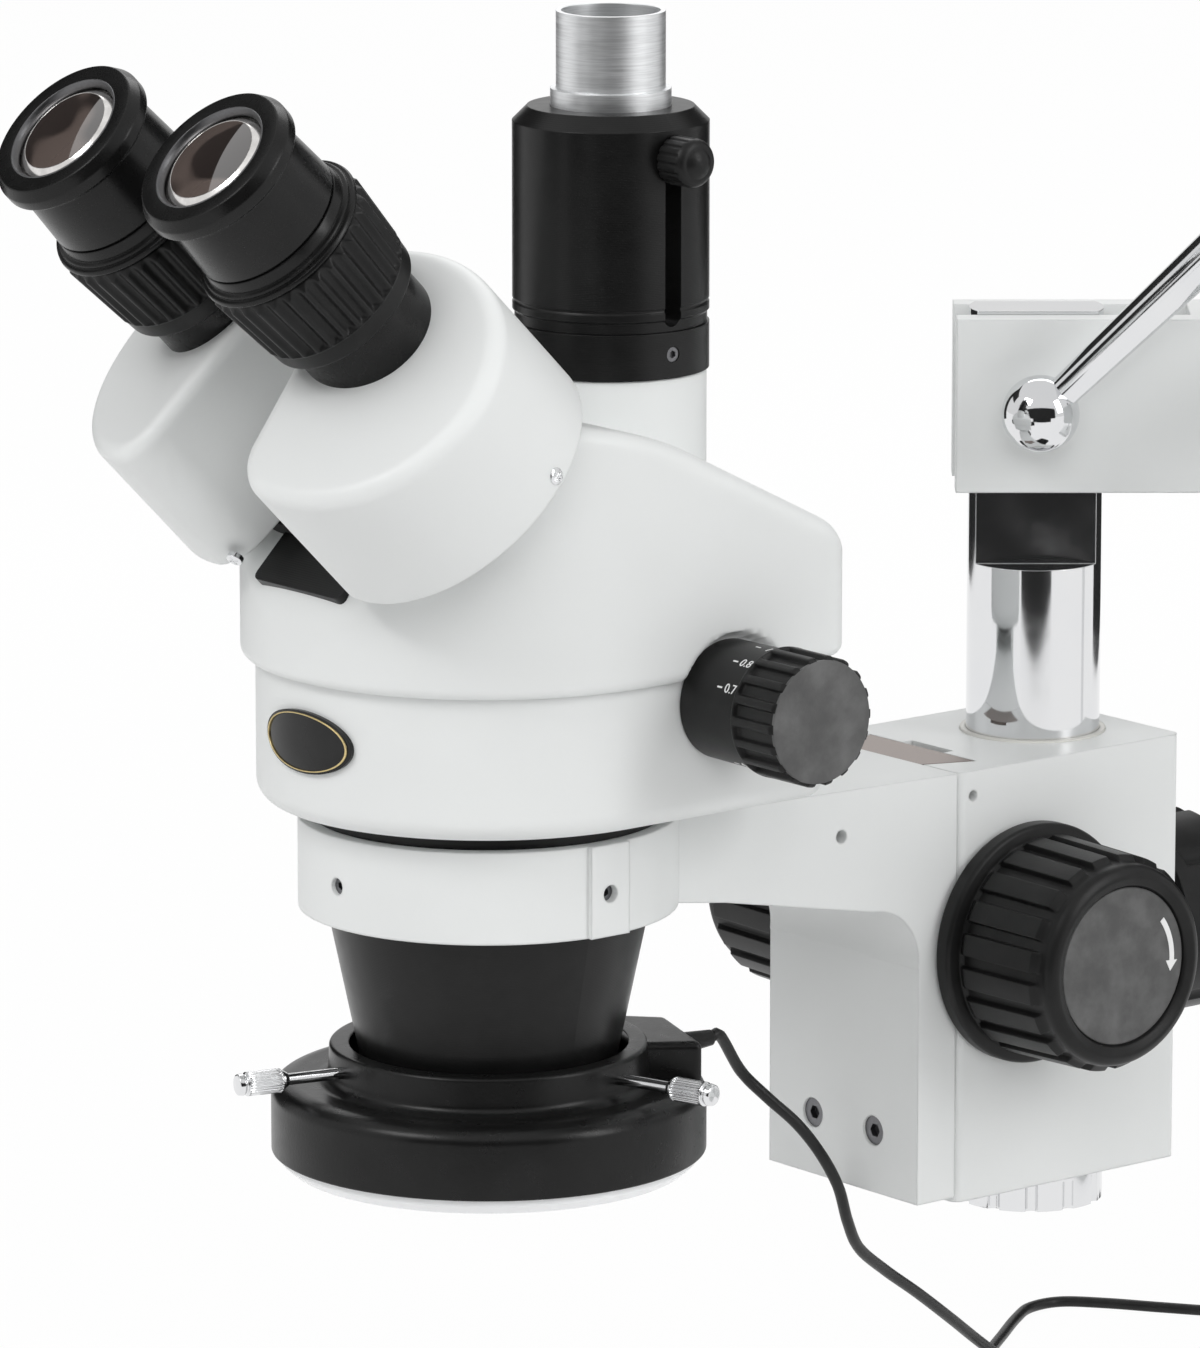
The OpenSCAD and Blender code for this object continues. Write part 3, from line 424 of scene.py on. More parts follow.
def board_green():
    """Solder-masked circuit board."""
    r = Recipe("board_green", (0.02, 0.14, 0.05), 0.35, Coat_Weight=0.5)
    weave = r.axis((1, 0, 0)).wave(0.001) * r.axis((0, 1, 0)).wave(0.001)
    r.set(Base_Color=r.blend(weave.ramp(-0.5, 0.8), (0.015, 0.11, 0.04), (0.025, 0.17, 0.06)))
    r.surface(weave, 0.00002, 0.3, 0)
    return r.material


MATERIALS = {}


def make_materials():
    """A material for each slot, and for each piece that looks different from its slot."""
    MATERIALS.update(
        white_cast=white_enamel(),
        black_anodised=black_satin("black_anodised", turning=UP),
        black_lamp=black_satin("black_housing", 0.006, 0.28, 0.0006, 0.0008, 0.00006),
        black_knob=moulded_black("moulded_black"),
        rubber_foot=moulded_black("foot_rubber", 0.02, 0.7),
        satin_cap=moulded_black("satin_cap", 0.10, 0.42),
        chrome_plate=chrome_plate(),
        brushed_bar=brushed_metal("brushed_bar", (0.55, 0.55, 0.56), 0.35, (1, 1, 0.05)),
        dark_steel=brushed_metal("dark_steel", (0.2, 0.2, 0.21), 0.4, (1, 1, 0.3)),
        silver_anodised=brushed_metal(
            "silver_anodised", (0.84, 0.85, 0.86), 0.42, (0.04, 0.04, 1), depth=0.000008
        ),
        coated_glass=lens_glass(),
        diffuser_white=frosted_white(),
        circuit_board=board_green(),
        eye=black_satin("eyepiece_black", 0.006, 0.26, 0.0004, 0.0007, 0.00002),
        gib=brushed_metal("gib_steel", (0.3, 0.255, 0.235), 0.35),
        edge=brushed_metal("lens_edge", (0.9, 0.88, 0.86), 0.16, (1, 1, 1), 0.004, 0.000002),
        bezel=brushed_metal("bezel_satin", (0.16, 0.16, 0.165), 0.35),
        badge_gloss=black_satin("gloss_black", 0.012, 0.12, 0.0003, 0.002, 0.000005),
        cord_black=moulded_black("cord_jacket", 0.016, 0.35),
        bushing=white_enamel("bush_plastic", (0.75, 0.74, 0.7)),
        ink=white_enamel("white_ink", (0.85, 0.85, 0.85), 0),
        gold=brushed_metal("gold_line", (0.75, 0.6, 0.3), 0.3),
    )


# Slots that share another slot's finish.
SHARED_FINISH = {"base_cast": "white_cast", "white_paint": "white_cast", "plug_black": "black_knob"}


# ---- settings ----


def strength(name, text, default, **limits):
    """A setting for a lamp or for the surroundings."""
    return FloatProperty(name=name, description=text, default=default, min=0, **limits)


class MicroscopeSettings(bpy.types.PropertyGroup):
    """Colours and lights that a user would change."""

    enamel: FloatVectorProperty(
        name="Enamel", description="Colour of the castings", subtype="COLOR", default=(0.80, 0.815, 0.81)
    )
    backdrop: strength("Backdrop", "Brightness of the backdrop in view", 1.0, max=1)
    key_power: strength("Key light", "Power of the large light", 20, subtype="POWER")
    fill_power: strength("Fill light", "Power of the light opposite", 10.5, subtype="POWER")
    front_power: strength("Front light", "Power of the light over the lens", 17, subtype="POWER")
    world_level: strength("World", "Strength of the even light from all round", 0.78)


# ---- stage ----

# The camera stands 2.05 m before the head and looks slightly down.
CAMERA_FROM_HEAD = (0.02552, -2.05, 0.54163)
CAMERA_PITCH = 11.873
CAMERA_LENS = 276.35
SEEING_RAYS = ("Is Camera Ray", "Is Glossy Ray", "Is Transmission Ray")
PAPER_WHITE = 0.965


class MICROSCOPE_OT_stage(bpy.types.Operator):
    """Make the camera, the pale floor and backdrop and the soft studio light"""

    bl_idname = "microscope.stage"
    bl_label = "Stage"

    def execute(self, context):
        scene = context.scene
        scene.view_settings.view_transform = "Standard"
        data = bpy.data.cameras.new("camera")
        camera = bpy.data.objects.new("camera", data)
        scene.collection.objects.link(camera)
        data.sensor_fit = "HORIZONTAL"
        data.sensor_width = 36
        data.lens = CAMERA_LENS
        data.clip_end = 20
        camera.location = HEAD.origin + CAMERA_FROM_HEAD
        camera.rotation_euler = (radians(90 - CAMERA_PITCH), 0, 0)
        scene.camera = camera
        self.floor()
        self.card("dark_front", (-2.6, -2.7, 0), (2.6, -2.7, 1.7))
        self.card("dark_low", (-0.3, -0.85, 0), (0.62, -0.85, 0.25))
        self.card("dark_back_left", (-0.85, 0.72, 0), (-0.32, 1.1, 1.2))
        self.card("dark_back_right", (0.4, 1.1, 0), (0.95, 0.6, 1.2))
        self.card("dark_high", (-1.15, 0.3, 0.75), (-0.55, 0.95, 1.25))
        self.world(scene)
        self.lights(scene)
        return {"FINISHED"}

    def floor(self):
        r = Recipe("floor_paper", grey(0.92), 0.8)
        self.seen_white(r)
        self.sheet("floor", np.array([[-1, -1, 0], [1, -1, 0], [1, 1, 0], [-1, 1, 0]], float) * 9, r)

    def card(self, name, low, high):
        """Upright black card between two corners given from the head, out of the front view."""
        (x0, y0, z0), (x1, y1, z1) = low, high
        corners = np.array([(x0, y0, z0), (x1, y1, z0), (x1, y1, z1), (x0, y0, z1)])
        self.sheet(name, corners + (HEAD.origin[0], HEAD.origin[1], 0), Recipe(name, grey(0.012), 0.9))

    def sheet(self, name, corners, recipe):
        """Flat stage piece of four corners in metres."""
        mesh = bpy.data.meshes.new(name)
        mesh.from_pydata(corners, [], [(0, 1, 2, 3)])
        mesh.materials.append(recipe.material)
        sheet = bpy.data.objects.new(name, mesh)
        bpy.context.scene.collection.objects.link(sheet)

    def seen_white(self, r):
        """The camera, mirrors and glass see the floor as white paper with the object's shadow."""
        camera, *others = [r.node("ShaderNodeLightPath", out=name) for name in SEEING_RAYS]
        seen = (camera + others[0] + others[1]) > 0.5
        glow = r.tree.nodes.new("ShaderNodeEmission")
        glow.inputs["Strength"].default_value = bpy.context.scene.microscope.backdrop
        mixed = r.tree.nodes.new("ShaderNodeMixShader")
        out = r.tree.nodes["Material Output"]
        r.tree.links.new((seen * PAPER_WHITE).socket, mixed.inputs[0])
        r.tree.links.new(r.shader.outputs[0], mixed.inputs[1])
        r.tree.links.new(glow.outputs[0], mixed.inputs[2])
        r.tree.links.new(mixed.outputs[0], out.inputs["Surface"])

    def world(self, scene):
        """Even light from all round, while the camera, mirrors and glass see white."""
        scene.world = bpy.data.worlds.new("studio")
        scene.world.use_nodes = True
        tree = scene.world.node_tree
        tree.nodes.clear()
        path = tree.nodes.new("ShaderNodeLightPath")
        out = tree.nodes.new("ShaderNodeOutputWorld")
        mixed = tree.nodes.new("ShaderNodeMixShader")
        seen = path.outputs[SEEING_RAYS[0]]
        for name in SEEING_RAYS[1:]:
            add = tree.nodes.new("ShaderNodeMath")
            add.use_clamp = True
            tree.links.new(seen, add.inputs[0])
            tree.links.new(path.outputs[name], add.inputs[1])
            seen = add.outputs[0]
        tree.links.new(seen, mixed.inputs[0])
        for socket, level in ((1, scene.microscope.world_level), (2, scene.microscope.backdrop)):
            glow = tree.nodes.new("ShaderNodeBackground")
            glow.inputs["Strength"].default_value = level
            tree.links.new(glow.outputs[0], mixed.inputs[socket])
        tree.links.new(mixed.outputs[0], out.inputs["Surface"])

    def lights(self, scene):
        self.panel(scene, "key", (-1.6, -1.2, 1.9), (1.2, 0.8), scene.microscope.key_power)
        self.panel(scene, "fill", (1.7, -0.9, 0.9), (0.6, 1.2), scene.microscope.fill_power)
        self.panel(scene, "rim", (0.3, 1.8, 1.6), (1.8, 0.8), scene.microscope.fill_power)
        front = self.panel(scene, "front", (0.1, -2.2, 1.3), (1.6, 1.2), scene.microscope.front_power)
        front.visible_glossy = False

    def panel(self, scene, name, offset, size, power):
        """Soft panel that faces the head."""
        data = bpy.data.lights.new(name, "AREA")
        data.shape = "RECTANGLE"
        data.size, data.size_y = size
        data.energy = power
        lamp = bpy.data.objects.new(name, data)
        scene.collection.objects.link(lamp)
        target = Vector(HEAD((0, 0, 120)))
        lamp.location = target + Vector(offset)
        lamp.rotation_euler = (-Vector(offset)).to_track_quat("-Z", "Y").to_euler()
        return lamp


# ---- rounded solids ----


def both(a, b, r):
    """What two solids share, as a distance: the edge where they meet is rounded to about r."""
    return np.minimum(np.maximum(a, b), -r) + np.hypot(np.maximum(a + r, 0), np.maximum(b + r, 0))


def cast(solid, centre, lifts, tilts, turns=360, reach=200):
    """Where rays leave a solid: ray (i, j) starts lifts[i] above the centre, climbs at tilts[i] degrees
    and heads for azimuth j. The way out is found by halving, for all rays at once."""
    tilt = np.radians(tilts)[:, None]
    turn = np.linspace(0, 2 * pi, turns, endpoint=False)[None, :]
    ray = np.stack([np.cos(tilt) * np.cos(turn), np.cos(tilt) * np.sin(turn), np.sin(tilt) + 0 * turn], 2)
    start = np.asarray(centre, float) + np.asarray(lifts, float)[:, None, None] * (0, 0, 1.0)
    near, far = np.zeros(ray.shape[:2]), np.full(ray.shape[:2], float(reach))
    for _ in range(30):
        middle = (near + far) / 2
        inside = solid(*np.moveaxis(start + middle[..., None] * ray, 2, 0)) < 0
        near, far = np.where(inside, middle, near), np.where(inside, far, middle)
    return start + near[..., None] * ray


def fan(lifts, step):
    """Level rays at the lifts, then from the last lift ones that climb a step at a time to straight up."""
    climb = np.arange(step, 90 + step, step).clip(0, 90)
    return np.concatenate([lifts, 0 * climb + lifts[-1]]), np.concatenate([0 * lifts, climb])


def levels(*stops):
    """Heights through the stops (height, spacing to the next stop)."""
    runs = [np.arange(a, b, step) for (a, step), (b, _) in zip(stops, stops[1:])]
    return np.concatenate([*runs, [stops[-1][0]]])


def bars(t, count, share, soft=0.12):
    """1 on each of count bars round a circle and 0 between them. Share is a bar's part of its pitch."""
    off = np.abs((t * count / (2 * pi)) % 1 - 0.5) * 2
    return np.clip((share - off) / soft + 0.5, 0, 1)


def between(z, low, high, soft=0.5):
    """1 from low to high, falling to 0 over a soft edge outside them."""
    return np.clip(np.minimum(z - low, high - z) / soft + 1, 0, 1)


def lettering(text, size, thick=0.1):
    """Flat letters: their points and faces in the plane of x and y, centred, thick millimetres deep."""
    curve = bpy.data.curves.new("letters", "FONT")
    curve.body, curve.size, curve.extrude = text, size, thick / 2
    curve.align_x = curve.align_y = "CENTER"
    thing = bpy.data.objects.new("letters", curve)
    mesh = bpy.data.meshes.new_from_object(thing)
    points = np.empty(len(mesh.vertices) * 3)
    mesh.vertices.foreach_get("co", points)
    faces = [tuple(p.vertices) for p in mesh.polygons]
    bpy.data.objects.remove(thing)
    return points.reshape(-1, 3), faces


def plate(outline, thick=0.1):
    """A flat closed outline in the plane of x and y, thick millimetres deep, as points and faces."""
    n = len(outline)
    flat = np.column_stack([outline, np.zeros(n)])
    sides = [(i, (i + 1) % n, n + (i + 1) % n, n + i) for i in range(n)]
    faces = [tuple(range(n))[::-1], tuple(range(n, 2 * n)), *sides]
    return np.concatenate([flat - (0, 0, thick / 2), flat + (0, 0, thick / 2)]), faces


def marks(name, parts, place, body, slot, finish):
    """One piece from several (points, faces) pairs."""
    points, faces, first = [], [], 0
    for some, held in parts:
        points.append(some)
        faces += [tuple(first + i for i in face) for face in held]
        first += len(some)
    mesh = bpy.data.meshes.new("marks")
    mesh.from_pydata(place(np.concatenate(points)), [], faces)
    tidy(mesh, 30, 1e-7)
    return add_piece(name, mesh, body, slot, finish)


# ---- casings ----

CASING_R = 56.2
CASING_BACK = 63.2
PORT_Y = 36
ZOOM_Y = 26.3
ZOOM_Z = 110.3
POCKET_X = 53.2
SEAM = 116
LOWER_Z = 82.8
BADGE_R = 52.8
BADGE_Z = 102.4
BADGE_WIDE = 15.1
BADGE_HIGH = 7.1


def casing_plan(x, y, inset, corner):
    """Distance to the casings' outline: a half circle in front, straight flanks and a squarer back."""
    r, back = CASING_R - inset, CASING_BACK - inset
    u, v = np.abs(x) - (r - corner), y - (back - corner)
    rear = np.hypot(np.maximum(u, 0), np.maximum(v, 0)) + np.minimum(np.maximum(u, v), 0) - corner
    return np.where(y < 0, np.hypot(x, y) - r, rear)


def upper_casing(x, y, z):
    """The outline cut by a 45 degree slope in front, a flat top and a gentler slope behind. A bay between
    the drums and a pocket round each zoom knob are taken out, and every edge is rounded."""
    top = both(both(z - 178, (z - y - 197.9) / 2**0.5, 6), (z + y / 2 - 175.5) / 1.118, 10)
    body = both(casing_plan(x, y, 0, 10), top, 5)
    rise = (z - y - 190.7) / 2**0.5
    bay = both((np.abs(x) - 21 - 0.45 * rise) / 1.1, -rise, 3)
    deep = np.abs(x) - POCKET_X
    pocket = np.maximum(np.hypot(y - ZOOM_Y, z - ZOOM_Z) - 14.3 - 0.35 * deep, -deep)
    return both(both(both(body, -bay, 4), SEAM - z, 2.6), -pocket, 0.6)


def lower_casing(x, y, z):
    """The same outline 3.4 inside, rounded to the flat underside."""
    return both(casing_plan(x, y, 3.4, 8), np.maximum(LOWER_Z - z, z - SEAM - 6), 5)


class MICROSCOPE_OT_casings(bpy.types.Operator):
    """Make the head's two casings, the port's neck and the bare badge"""

    bl_idname = "microscope.casings"
    bl_label = "Casings"

    def execute(self, context):
        rays = fan(levels((0, 0.03), (0.03, 0.25), (1, 0.5), (4, 1.2), (10, 1)), 0.5)
        shell = cast(upper_casing, (0, 12, SEAM), *rays, 440)
        neck = turned(rounded([(0, 130, 0), (21.9, 130, 0), (21.9, 177.9, 0.5), (0, 177.9, 0)], 4))
        shell = [shell, neck + (0, PORT_Y, 0)]
        piece("upper_casing", shell, HEAD, "head", "white_cast", stands_for=("upper_shell",), sharp=50)
        lifts = levels((0, 0.04), (0.04, 0.3), (1.5, 0.6), (6, 2.4), (SEAM + 6 - LOWER_Z, 1))
        shell = cast(lower_casing, (0, 5, LOWER_Z), lifts, 0 * lifts, 300)
        piece("lower_casing", shell, HEAD, "head", "white_cast", stands_for=("lower_shell",), sharp=50)
        self.badge()
        return {"FINISHED"}

    def badge(self):
        """An oval bent round the nose, domed to its middle, with a thin raised line near its edge."""
        a, r = np.linspace(0, 2 * pi, 96, endpoint=False)[None, :], np.linspace(0, 1, 14)[:, None] ** 0.7
        face = self.bent(r * np.cos(a), r * np.sin(a), 1.5 - 0.35 * r**2 + 0 * a)
        under = self.bent(np.cos(a), np.sin(a), 0.1 + 0 * a)
        face = np.concatenate([face, under, under.mean(1, keepdims=True) + 0 * under])
        piece("badge_face", face, HEAD, "head", "badge_gloss", stands_for=("badge",))
        ring = ring_of([(0.895, 0.6, 0), (0.93, 0.6, 0), (0.93, 1.5, 0.01), (0.895, 1.56, 0.01)], 2)
        scale, out = ring[:, :1], ring[:, 1:] + 0 * a
        line = self.bent(scale * np.cos(a), scale * np.sin(a), out)
        piece("badge_rim", line, HEAD, "head", "badge_gloss", "gold", wrap=True)

    def bent(self, across, up, out):
        """Point (across, up) of the unit oval, out millimetres off the nose: across runs round it."""
        turn = radians(-89) + across * BADGE_WIDE / BADGE_R
        r = BADGE_R + out
        return np.stack([r * np.cos(turn), r * np.sin(turn), BADGE_Z + BADGE_HIGH * up + 0 * turn], 2)


# ---- binocular ----

# Half sections as corners (radius, height, fillet).
DIOPTER_LINE = [
    (15.8, 10.7, 0.2), (18.5, 10.7, 0.9), (18.9, 15.3, 0.25), (19.2, 15.7, 0.2),
    (20.6, 32.4, 0.5), (19.4, 34.1, 0.4), (15.8, 34.1, 0),
]
EYEPIECE_LINE = [
    (13.9, 61.6, 0.2), (17.9, 61.6, 0.5), (19.3, 59.2, 0.9), (19.3, 56.6, 0.6), (18.3, 56, 0.3),
    (16.9, 55.2, 1), (17.75, 40.4, 0.15), (17, 40.3, 0), (17, 39.9, 0), (17.8, 39.8, 0.15),
    (18.2, 37.3, 0.2), (18.1, 37, 0.1), (19.2, 36.8, 0.3), (19.3, 36.2, 0.2), (18.9, 36, 0.1),
    (20.2, 35.9, 0.3), (20.5, 35, 0.4), (19.6, 34.3, 0.2), (14.9, 34.3, 0), (14.9, 4.2, 0),
    (12.6, 4.2, 0), (12.6, 54.8, 0), (13.2, 55.2, 0), (13.2, 60.2, 0),
]
EYE_IN = 8.2
EYE_UP = 11.5
DRUM_R = 34.6
DRUM_BASE = -37.9
DRUM_ARC = {"right": -3.7, "left": -11.7}
DRUM_FLAT = {"right": -21.2, "left": -25.2}
DRUM_LEAN = radians(9)
GLASS_R = 10.8
BEVEL_IN = 10.7
BEVEL_OUT = 13.3
SCREW_TURNS = {"right": (9, 100), "left": (-104, 100)}


def drum_box(side, out, y, z):
    """Distance to a prism box, out being away from the other drum: a cylinder cut by a leaning flat on the
    inner side, its face sloping down outwards, every edge rounded."""
    flat = (DRUM_FLAT[side] - out) * cos(DRUM_LEAN) - y * sin(DRUM_LEAN)
    plan = both(np.hypot(out - DRUM_ARC[side], y - 1) - DRUM_R, flat, 7.5)
    face = (z - 4.3 + 0.2 * (out + 21.2)) / 1.02
    return both(both(plan, face, 3.6), DRUM_BASE - z, 0.6)


def screw_head(r):
    """A low dome of radius r with a cross sunk into it: (u, v) at depth 0.5 where either arm covers it."""
    a, q = np.linspace(0, 2 * pi, 64, endpoint=False)[None, :], np.linspace(0.001, 1, 22)[:, None]
    u, v = r * q * np.cos(a), r * q * np.sin(a)
    arm = np.minimum(np.abs(u), np.abs(v)) / (0.12 * r)
    cross = np.clip(1.6 - arm, 0, 1) * np.clip((0.68 - q) / 0.08, 0, 1)
    top = np.stack([u, v, 0.55 * np.sqrt(1 - (0.93 * q) ** 2) - 0.45 * cross], 2)
    rim = np.stack([r * np.cos(a), r * np.sin(a), -1.0 + 0 * a], 2)
    return np.concatenate([top, rim, rim.mean(1, keepdims=True) + 0 * rim])


class MICROSCOPE_OT_binocular(bpy.types.Operator):
    """Make the drums, eye tubes, diopter rings, eyepieces and their lenses"""

    bl_idname = "microscope.binocular"
    bl_label = "Binocular"

    def execute(self, context):
        bed = ring_of([(-16, -32.2, 2), (16, -32.2, 2), (16, -12, 0), (-16, -12, 0)], 4)
        bed = [np.column_stack([bed, z + 0 * bed[:, 0]]) for z in (-46, -42.6)]
        place = DRUM["right"].at(-35.2, 0, 0)
        piece("drum_bed", capped(np.array(bed)), place, "head", "black_anodised", sharp=30)
        for side, way in SIDES:
            self.drum(side, way)
            self.diopter(side)
            self.eyepiece(side)
        return {"FINISHED"}

    def drum(self, side, way):
        """The rounded prism box, the neck it turns on, its eye tube and two screws in its side."""
        body, place = f"drum_{side}", DRUM[side]
        rays = fan(levels((0, 0.03), (0.03, 0.2), (0.83, 1.6), (26, 1)), 0.5)
        solid = lambda x, y, z: drum_box(side, way * x, y, z)
        box = cast(solid, (0, 0, DRUM_BASE), *rays, 400)
        neck = turned(rounded([(0, -43.2, 0), (12, -43.2, 0), (12, -37, 0), (0, -37, 0)]))
        stands = (f"prism_drum_{side}",)
        piece(f"drum_{side}", [box, neck], place, body, "white_cast", stands_for=stands, sharp=50)
        eye = place.at(-way * EYE_IN, EYE_UP, 0)
        tube = ring_of([(14.95, -8, 0), (15.7, -8, 0), (15.7, 12, 0.2), (14.95, 12, 0)], 3)
        piece(f"eye_tube_{side}", turned(tube, 96), eye, body, "black_anodised", "eye", wrap=True)
        for turn in SCREW_TURNS[side]:
            a = radians(turn)
            x, y = way * (DRUM_ARC[side] + DRUM_R * cos(a)), 1 + DRUM_R * sin(a)
            out = place.at(x, y, -35.2).facing((way * cos(a), sin(a), 0), (0, 0, 1))
            piece(f"drum_screw_{side}_{turn}", screw_head(1.9), out, body, "chrome_plate")

    def diopter(self, side):
        """A slim lower band, then a grip that widens upwards, cut by shallow hollows with ridges between."""
        body = f"diopter_{side}"
        ring = turned(finer(ring_of(DIOPTER_LINE, 6), 0.7), 480, self.fluted)
        stands = (f"diopter_ring_{side}",)
        piece(body, ring, EYE[side], body, "black_anodised", "black_knob", stands, wrap=True, sharp=40)

    def fluted(self, r, t, z):
        """32 hollows of parabolic section, up to 1.2 deep, under a cone that widens 1 in 12."""
        phase = np.abs((t * 32 / (2 * pi)) % 1 * 2 - 1)
        hollow = 1.2 * np.clip(1 - (phase / 0.8) ** 2, 0, 1)
        limit = 19.2 + (z - 15.7) / 12 - hollow * np.clip((z - 15.6) / 0.4, 0, 1)
        return np.where(z > 15.5, np.minimum(r, limit), r)

    def eyepiece(self, side):
        """A stepped barrel under a wide cup, a line round the lens, its bevelled edge and its glass."""
        body, place = f"eyepiece_{side}", EYE[side]
        barrel = turned(ring_of(EYEPIECE_LINE, 5), 144)
        piece(body, barrel, place, body, "black_anodised", "eye", (body,), wrap=True, sharp=40)
        bezel = [(13, 59.8, 0.1), (13.25, 59.8, 0), (14.1, 61.65, 0.1), (13.75, 61.75, 0.05), (13, 60.4, 0)]
        bezel = turned(ring_of(bezel, 3), 144)
        piece(f"eye_bezel_{side}", bezel, place, body, "black_anodised", "bezel", wrap=True)
        # The glass is a parabola 0.8 high, and the bevel falls off ever more steeply outwards.
        r = np.linspace(GLASS_R, 0, 18)
        dome = np.column_stack([r, 60.9 + 0.8 * (1 - (r / GLASS_R) ** 2)])
        glass = np.concatenate([[(0, 57), (GLASS_R, 57)], dome])
        r = np.linspace(BEVEL_OUT, BEVEL_IN, 10)
        slope = np.column_stack([r, 61 - 0.6 * (r - BEVEL_IN) - 0.06 * (r - BEVEL_IN) ** 2])
        edge = turned(np.concatenate([[(BEVEL_IN, 56.8), (BEVEL_OUT, 56.8)], slope]), 144)
        piece(f"eye_edge_{side}", edge, place, body, "coated_glass", "edge", wrap=True)
        field = rounded([(0, 8.1, 0), (12.4, 8.1, 0.2), (12.4, 11.9, 0.2), (0, 12.4, 0)], 3)
        lenses, stands = [turned(glass, 96), turned(field, 64)], (f"eye_lenses_{side}",)
        piece(f"eye_glass_{side}", lenses, place, body, "coated_glass", stands_for=stands, sharp=50)


# ---- knobs ----

FOCUS_Y = 140
FOCUS_Z = 32.5
BARREL_R = 13.9
GRIP_R = 14.9
# Half sections as corners (radius, height, fillet).
ZOOM_LINE = [
    (0, 0, 0), (13.7, 0, 0.3), (BARREL_R, 18.8, 0.2), (GRIP_R, 19.3, 0.2), (GRIP_R, 32.4, 0.5),
    (14.2, 33, 0.3), (0, 33, 0),
]
FOCUS_LINE = [
    (0, 0, 0), (28.8, 0, 0.8), (28.8, 4.4, 1), (25.6, 5, 0.5), (24.9, 6, 0.6), (24.2, 30.4, 2),
    (23.9, 34, 2.4), (21.4, 35, 1.6), (19.1, 34.2, 0.8), (19, 33.2, 0.2), (0, 33.2, 0),
]
ZOOM_SCALE = (
    (63, "0.7"), (34, "0.8"), (5, "1"), (-30, "1.5"), (-60, "2"), (-92, "2.5"), (-120, "3"), (-150, "3.5"),
    (-182, "4"), (-212, "4.5"),
)


class MICROSCOPE_OT_knobs(bpy.types.Operator):
    """Make the zoom knobs with their scale and the focus knobs with their caps"""

    bl_idname = "microscope.knobs"
    bl_label = "Knobs"

    def execute(self, context):
        for side, way in SIDES:
            zoom = HEAD.at(way * POCKET_X, ZOOM_Y, ZOOM_Z).facing((way, 0, 0), (0, 0, 1))
            focus = HEAD.at(way * 28, FOCUS_Y, FOCUS_Z).facing((way, 0, 0), (0, 0, 1))
            self.zoom(side, zoom)
            self.scale(side, zoom, way)
            self.focus(side, focus, way)
        return {"FINISHED"}

    def zoom(self, side, place):
        """A smooth barrel, then a grip 1 mm wider with pockets between its bars, and a flat end."""
        profile = rounded(ZOOM_LINE, 4)
        knob, stands = turned(finer(profile, 0.4, closed=False), 288, self.pockets), (f"zoom_knob_{side}",)
        piece(f"zoom_knob_{side}", knob, place, "zoom", "black_knob", stands_for=stands, sharp=40)
        disc = rounded([(0, 32.5, 0), (14, 32.5, 0), (14, 33.12, 0.15), (0, 33.12, 0)], 3)
        piece(f"zoom_end_{side}", turned(disc, 120), place, "zoom", "black_knob", "satin_cap")

    def pockets(self, r, t, z):
        """The grip's radius less 1.2 between its 18 bars, fading out at both ends."""
        return np.minimum(r, GRIP_R - 1.2 * (1 - bars(t, 18, 0.42, 0.14)) * between(z, 20.3, 33.5, 0.35))

    def scale(self, side, place, way):
        """Ticks and plain numbers round the barrel, read outwards from the casing."""
        parts = []
        for turn, text in ZOOM_SCALE:
            parts.append(self.wrapped(lettering(text, 3.1), 16.2, way * turn))
            tick = np.array([(-0.8, -0.2), (0.8, -0.2), (0.8, 0.2), (-0.8, 0.2)])
            parts.append(self.wrapped(plate(tick), 12.6, way * turn))
        marks(f"zoom_scale_{side}", parts, place, "zoom", "black_knob", "ink")

    def wrapped(self, part, along, turn):
        """Flat (u, v) to the barrel: u runs outwards, v round it, so the angle is v over the radius."""
        points, faces = part
        u, v, w = points.T
        r = BARREL_R + 0.02 + w
        a = radians(turn) - v / BARREL_R
        return np.stack([r * np.cos(a), r * np.sin(a), along + u], 1), faces

    def focus(self, side, place, way):
        """A flange, 20 broad raised ribs and a rounded rim round a sunk cap."""
        profile = rounded(FOCUS_LINE, 6)
        knob, stands = turned(finer(profile, 0.6, closed=False), 400, self.ribs), (f"focus_knob_{side}",)
        piece(f"focus_knob_{side}", knob, place, "pinion", "black_knob", stands_for=stands, sharp=40)
        cap = turned(rounded([(0, 33, 0), (18.7, 33, 0), (18.7, 33.7, 0.35), (0, 33.75, 0)], 4), 120)
        stands = ("focus_caps",) if side == "right" else ()
        piece(f"focus_cap_{side}", cap, place, "pinion", "satin_cap", stands_for=stands)
        self.arrow(side, place, way)

    def ribs(self, r, t, z):
        """20 ribs 1.55 high on the barrel, fading out at both ends."""
        rib = bars(t, 20, 0.66, 0.07) * between(z, 6.6, 29.6, 1.4)
        return np.where((z > 5.2) & (z < 32) & (r > 23), r + 1.55 * rib, r)

    def arrow(self, side, place, way):
        """A curved arrow on the cap: an arc of radius 15.3 from 38 degrees to -3, then its head."""
        a = np.radians(np.linspace(38, -3, 16))
        outer = np.column_stack([16 * np.sin(a), -16 * np.cos(a)])
        inner = np.column_stack([14.6 * np.sin(a), -14.6 * np.cos(a)])[::-1]
        end = radians(-3)
        head = [(r * sin(end - lag), -r * cos(end - lag)) for r, lag in ((17, 0), (15.2, 0.17), (13.5, 0))]
        points, faces = plate(np.concatenate([outer, head, inner]) * (1, way), 0.1)
        marks(f"focus_arrow_{side}", [(points + (0, 0, 33.76), faces)], place, "pinion", "satin_cap", "ink")


# ---- lever ----

LEVER = Place(JOINTS["tilt_lever_turn"]["pos_m"])
BALL_Y = -24.15
BALL_R = 9.2
ROD_RISE = radians(44)
ROD_LEAN = radians(12)


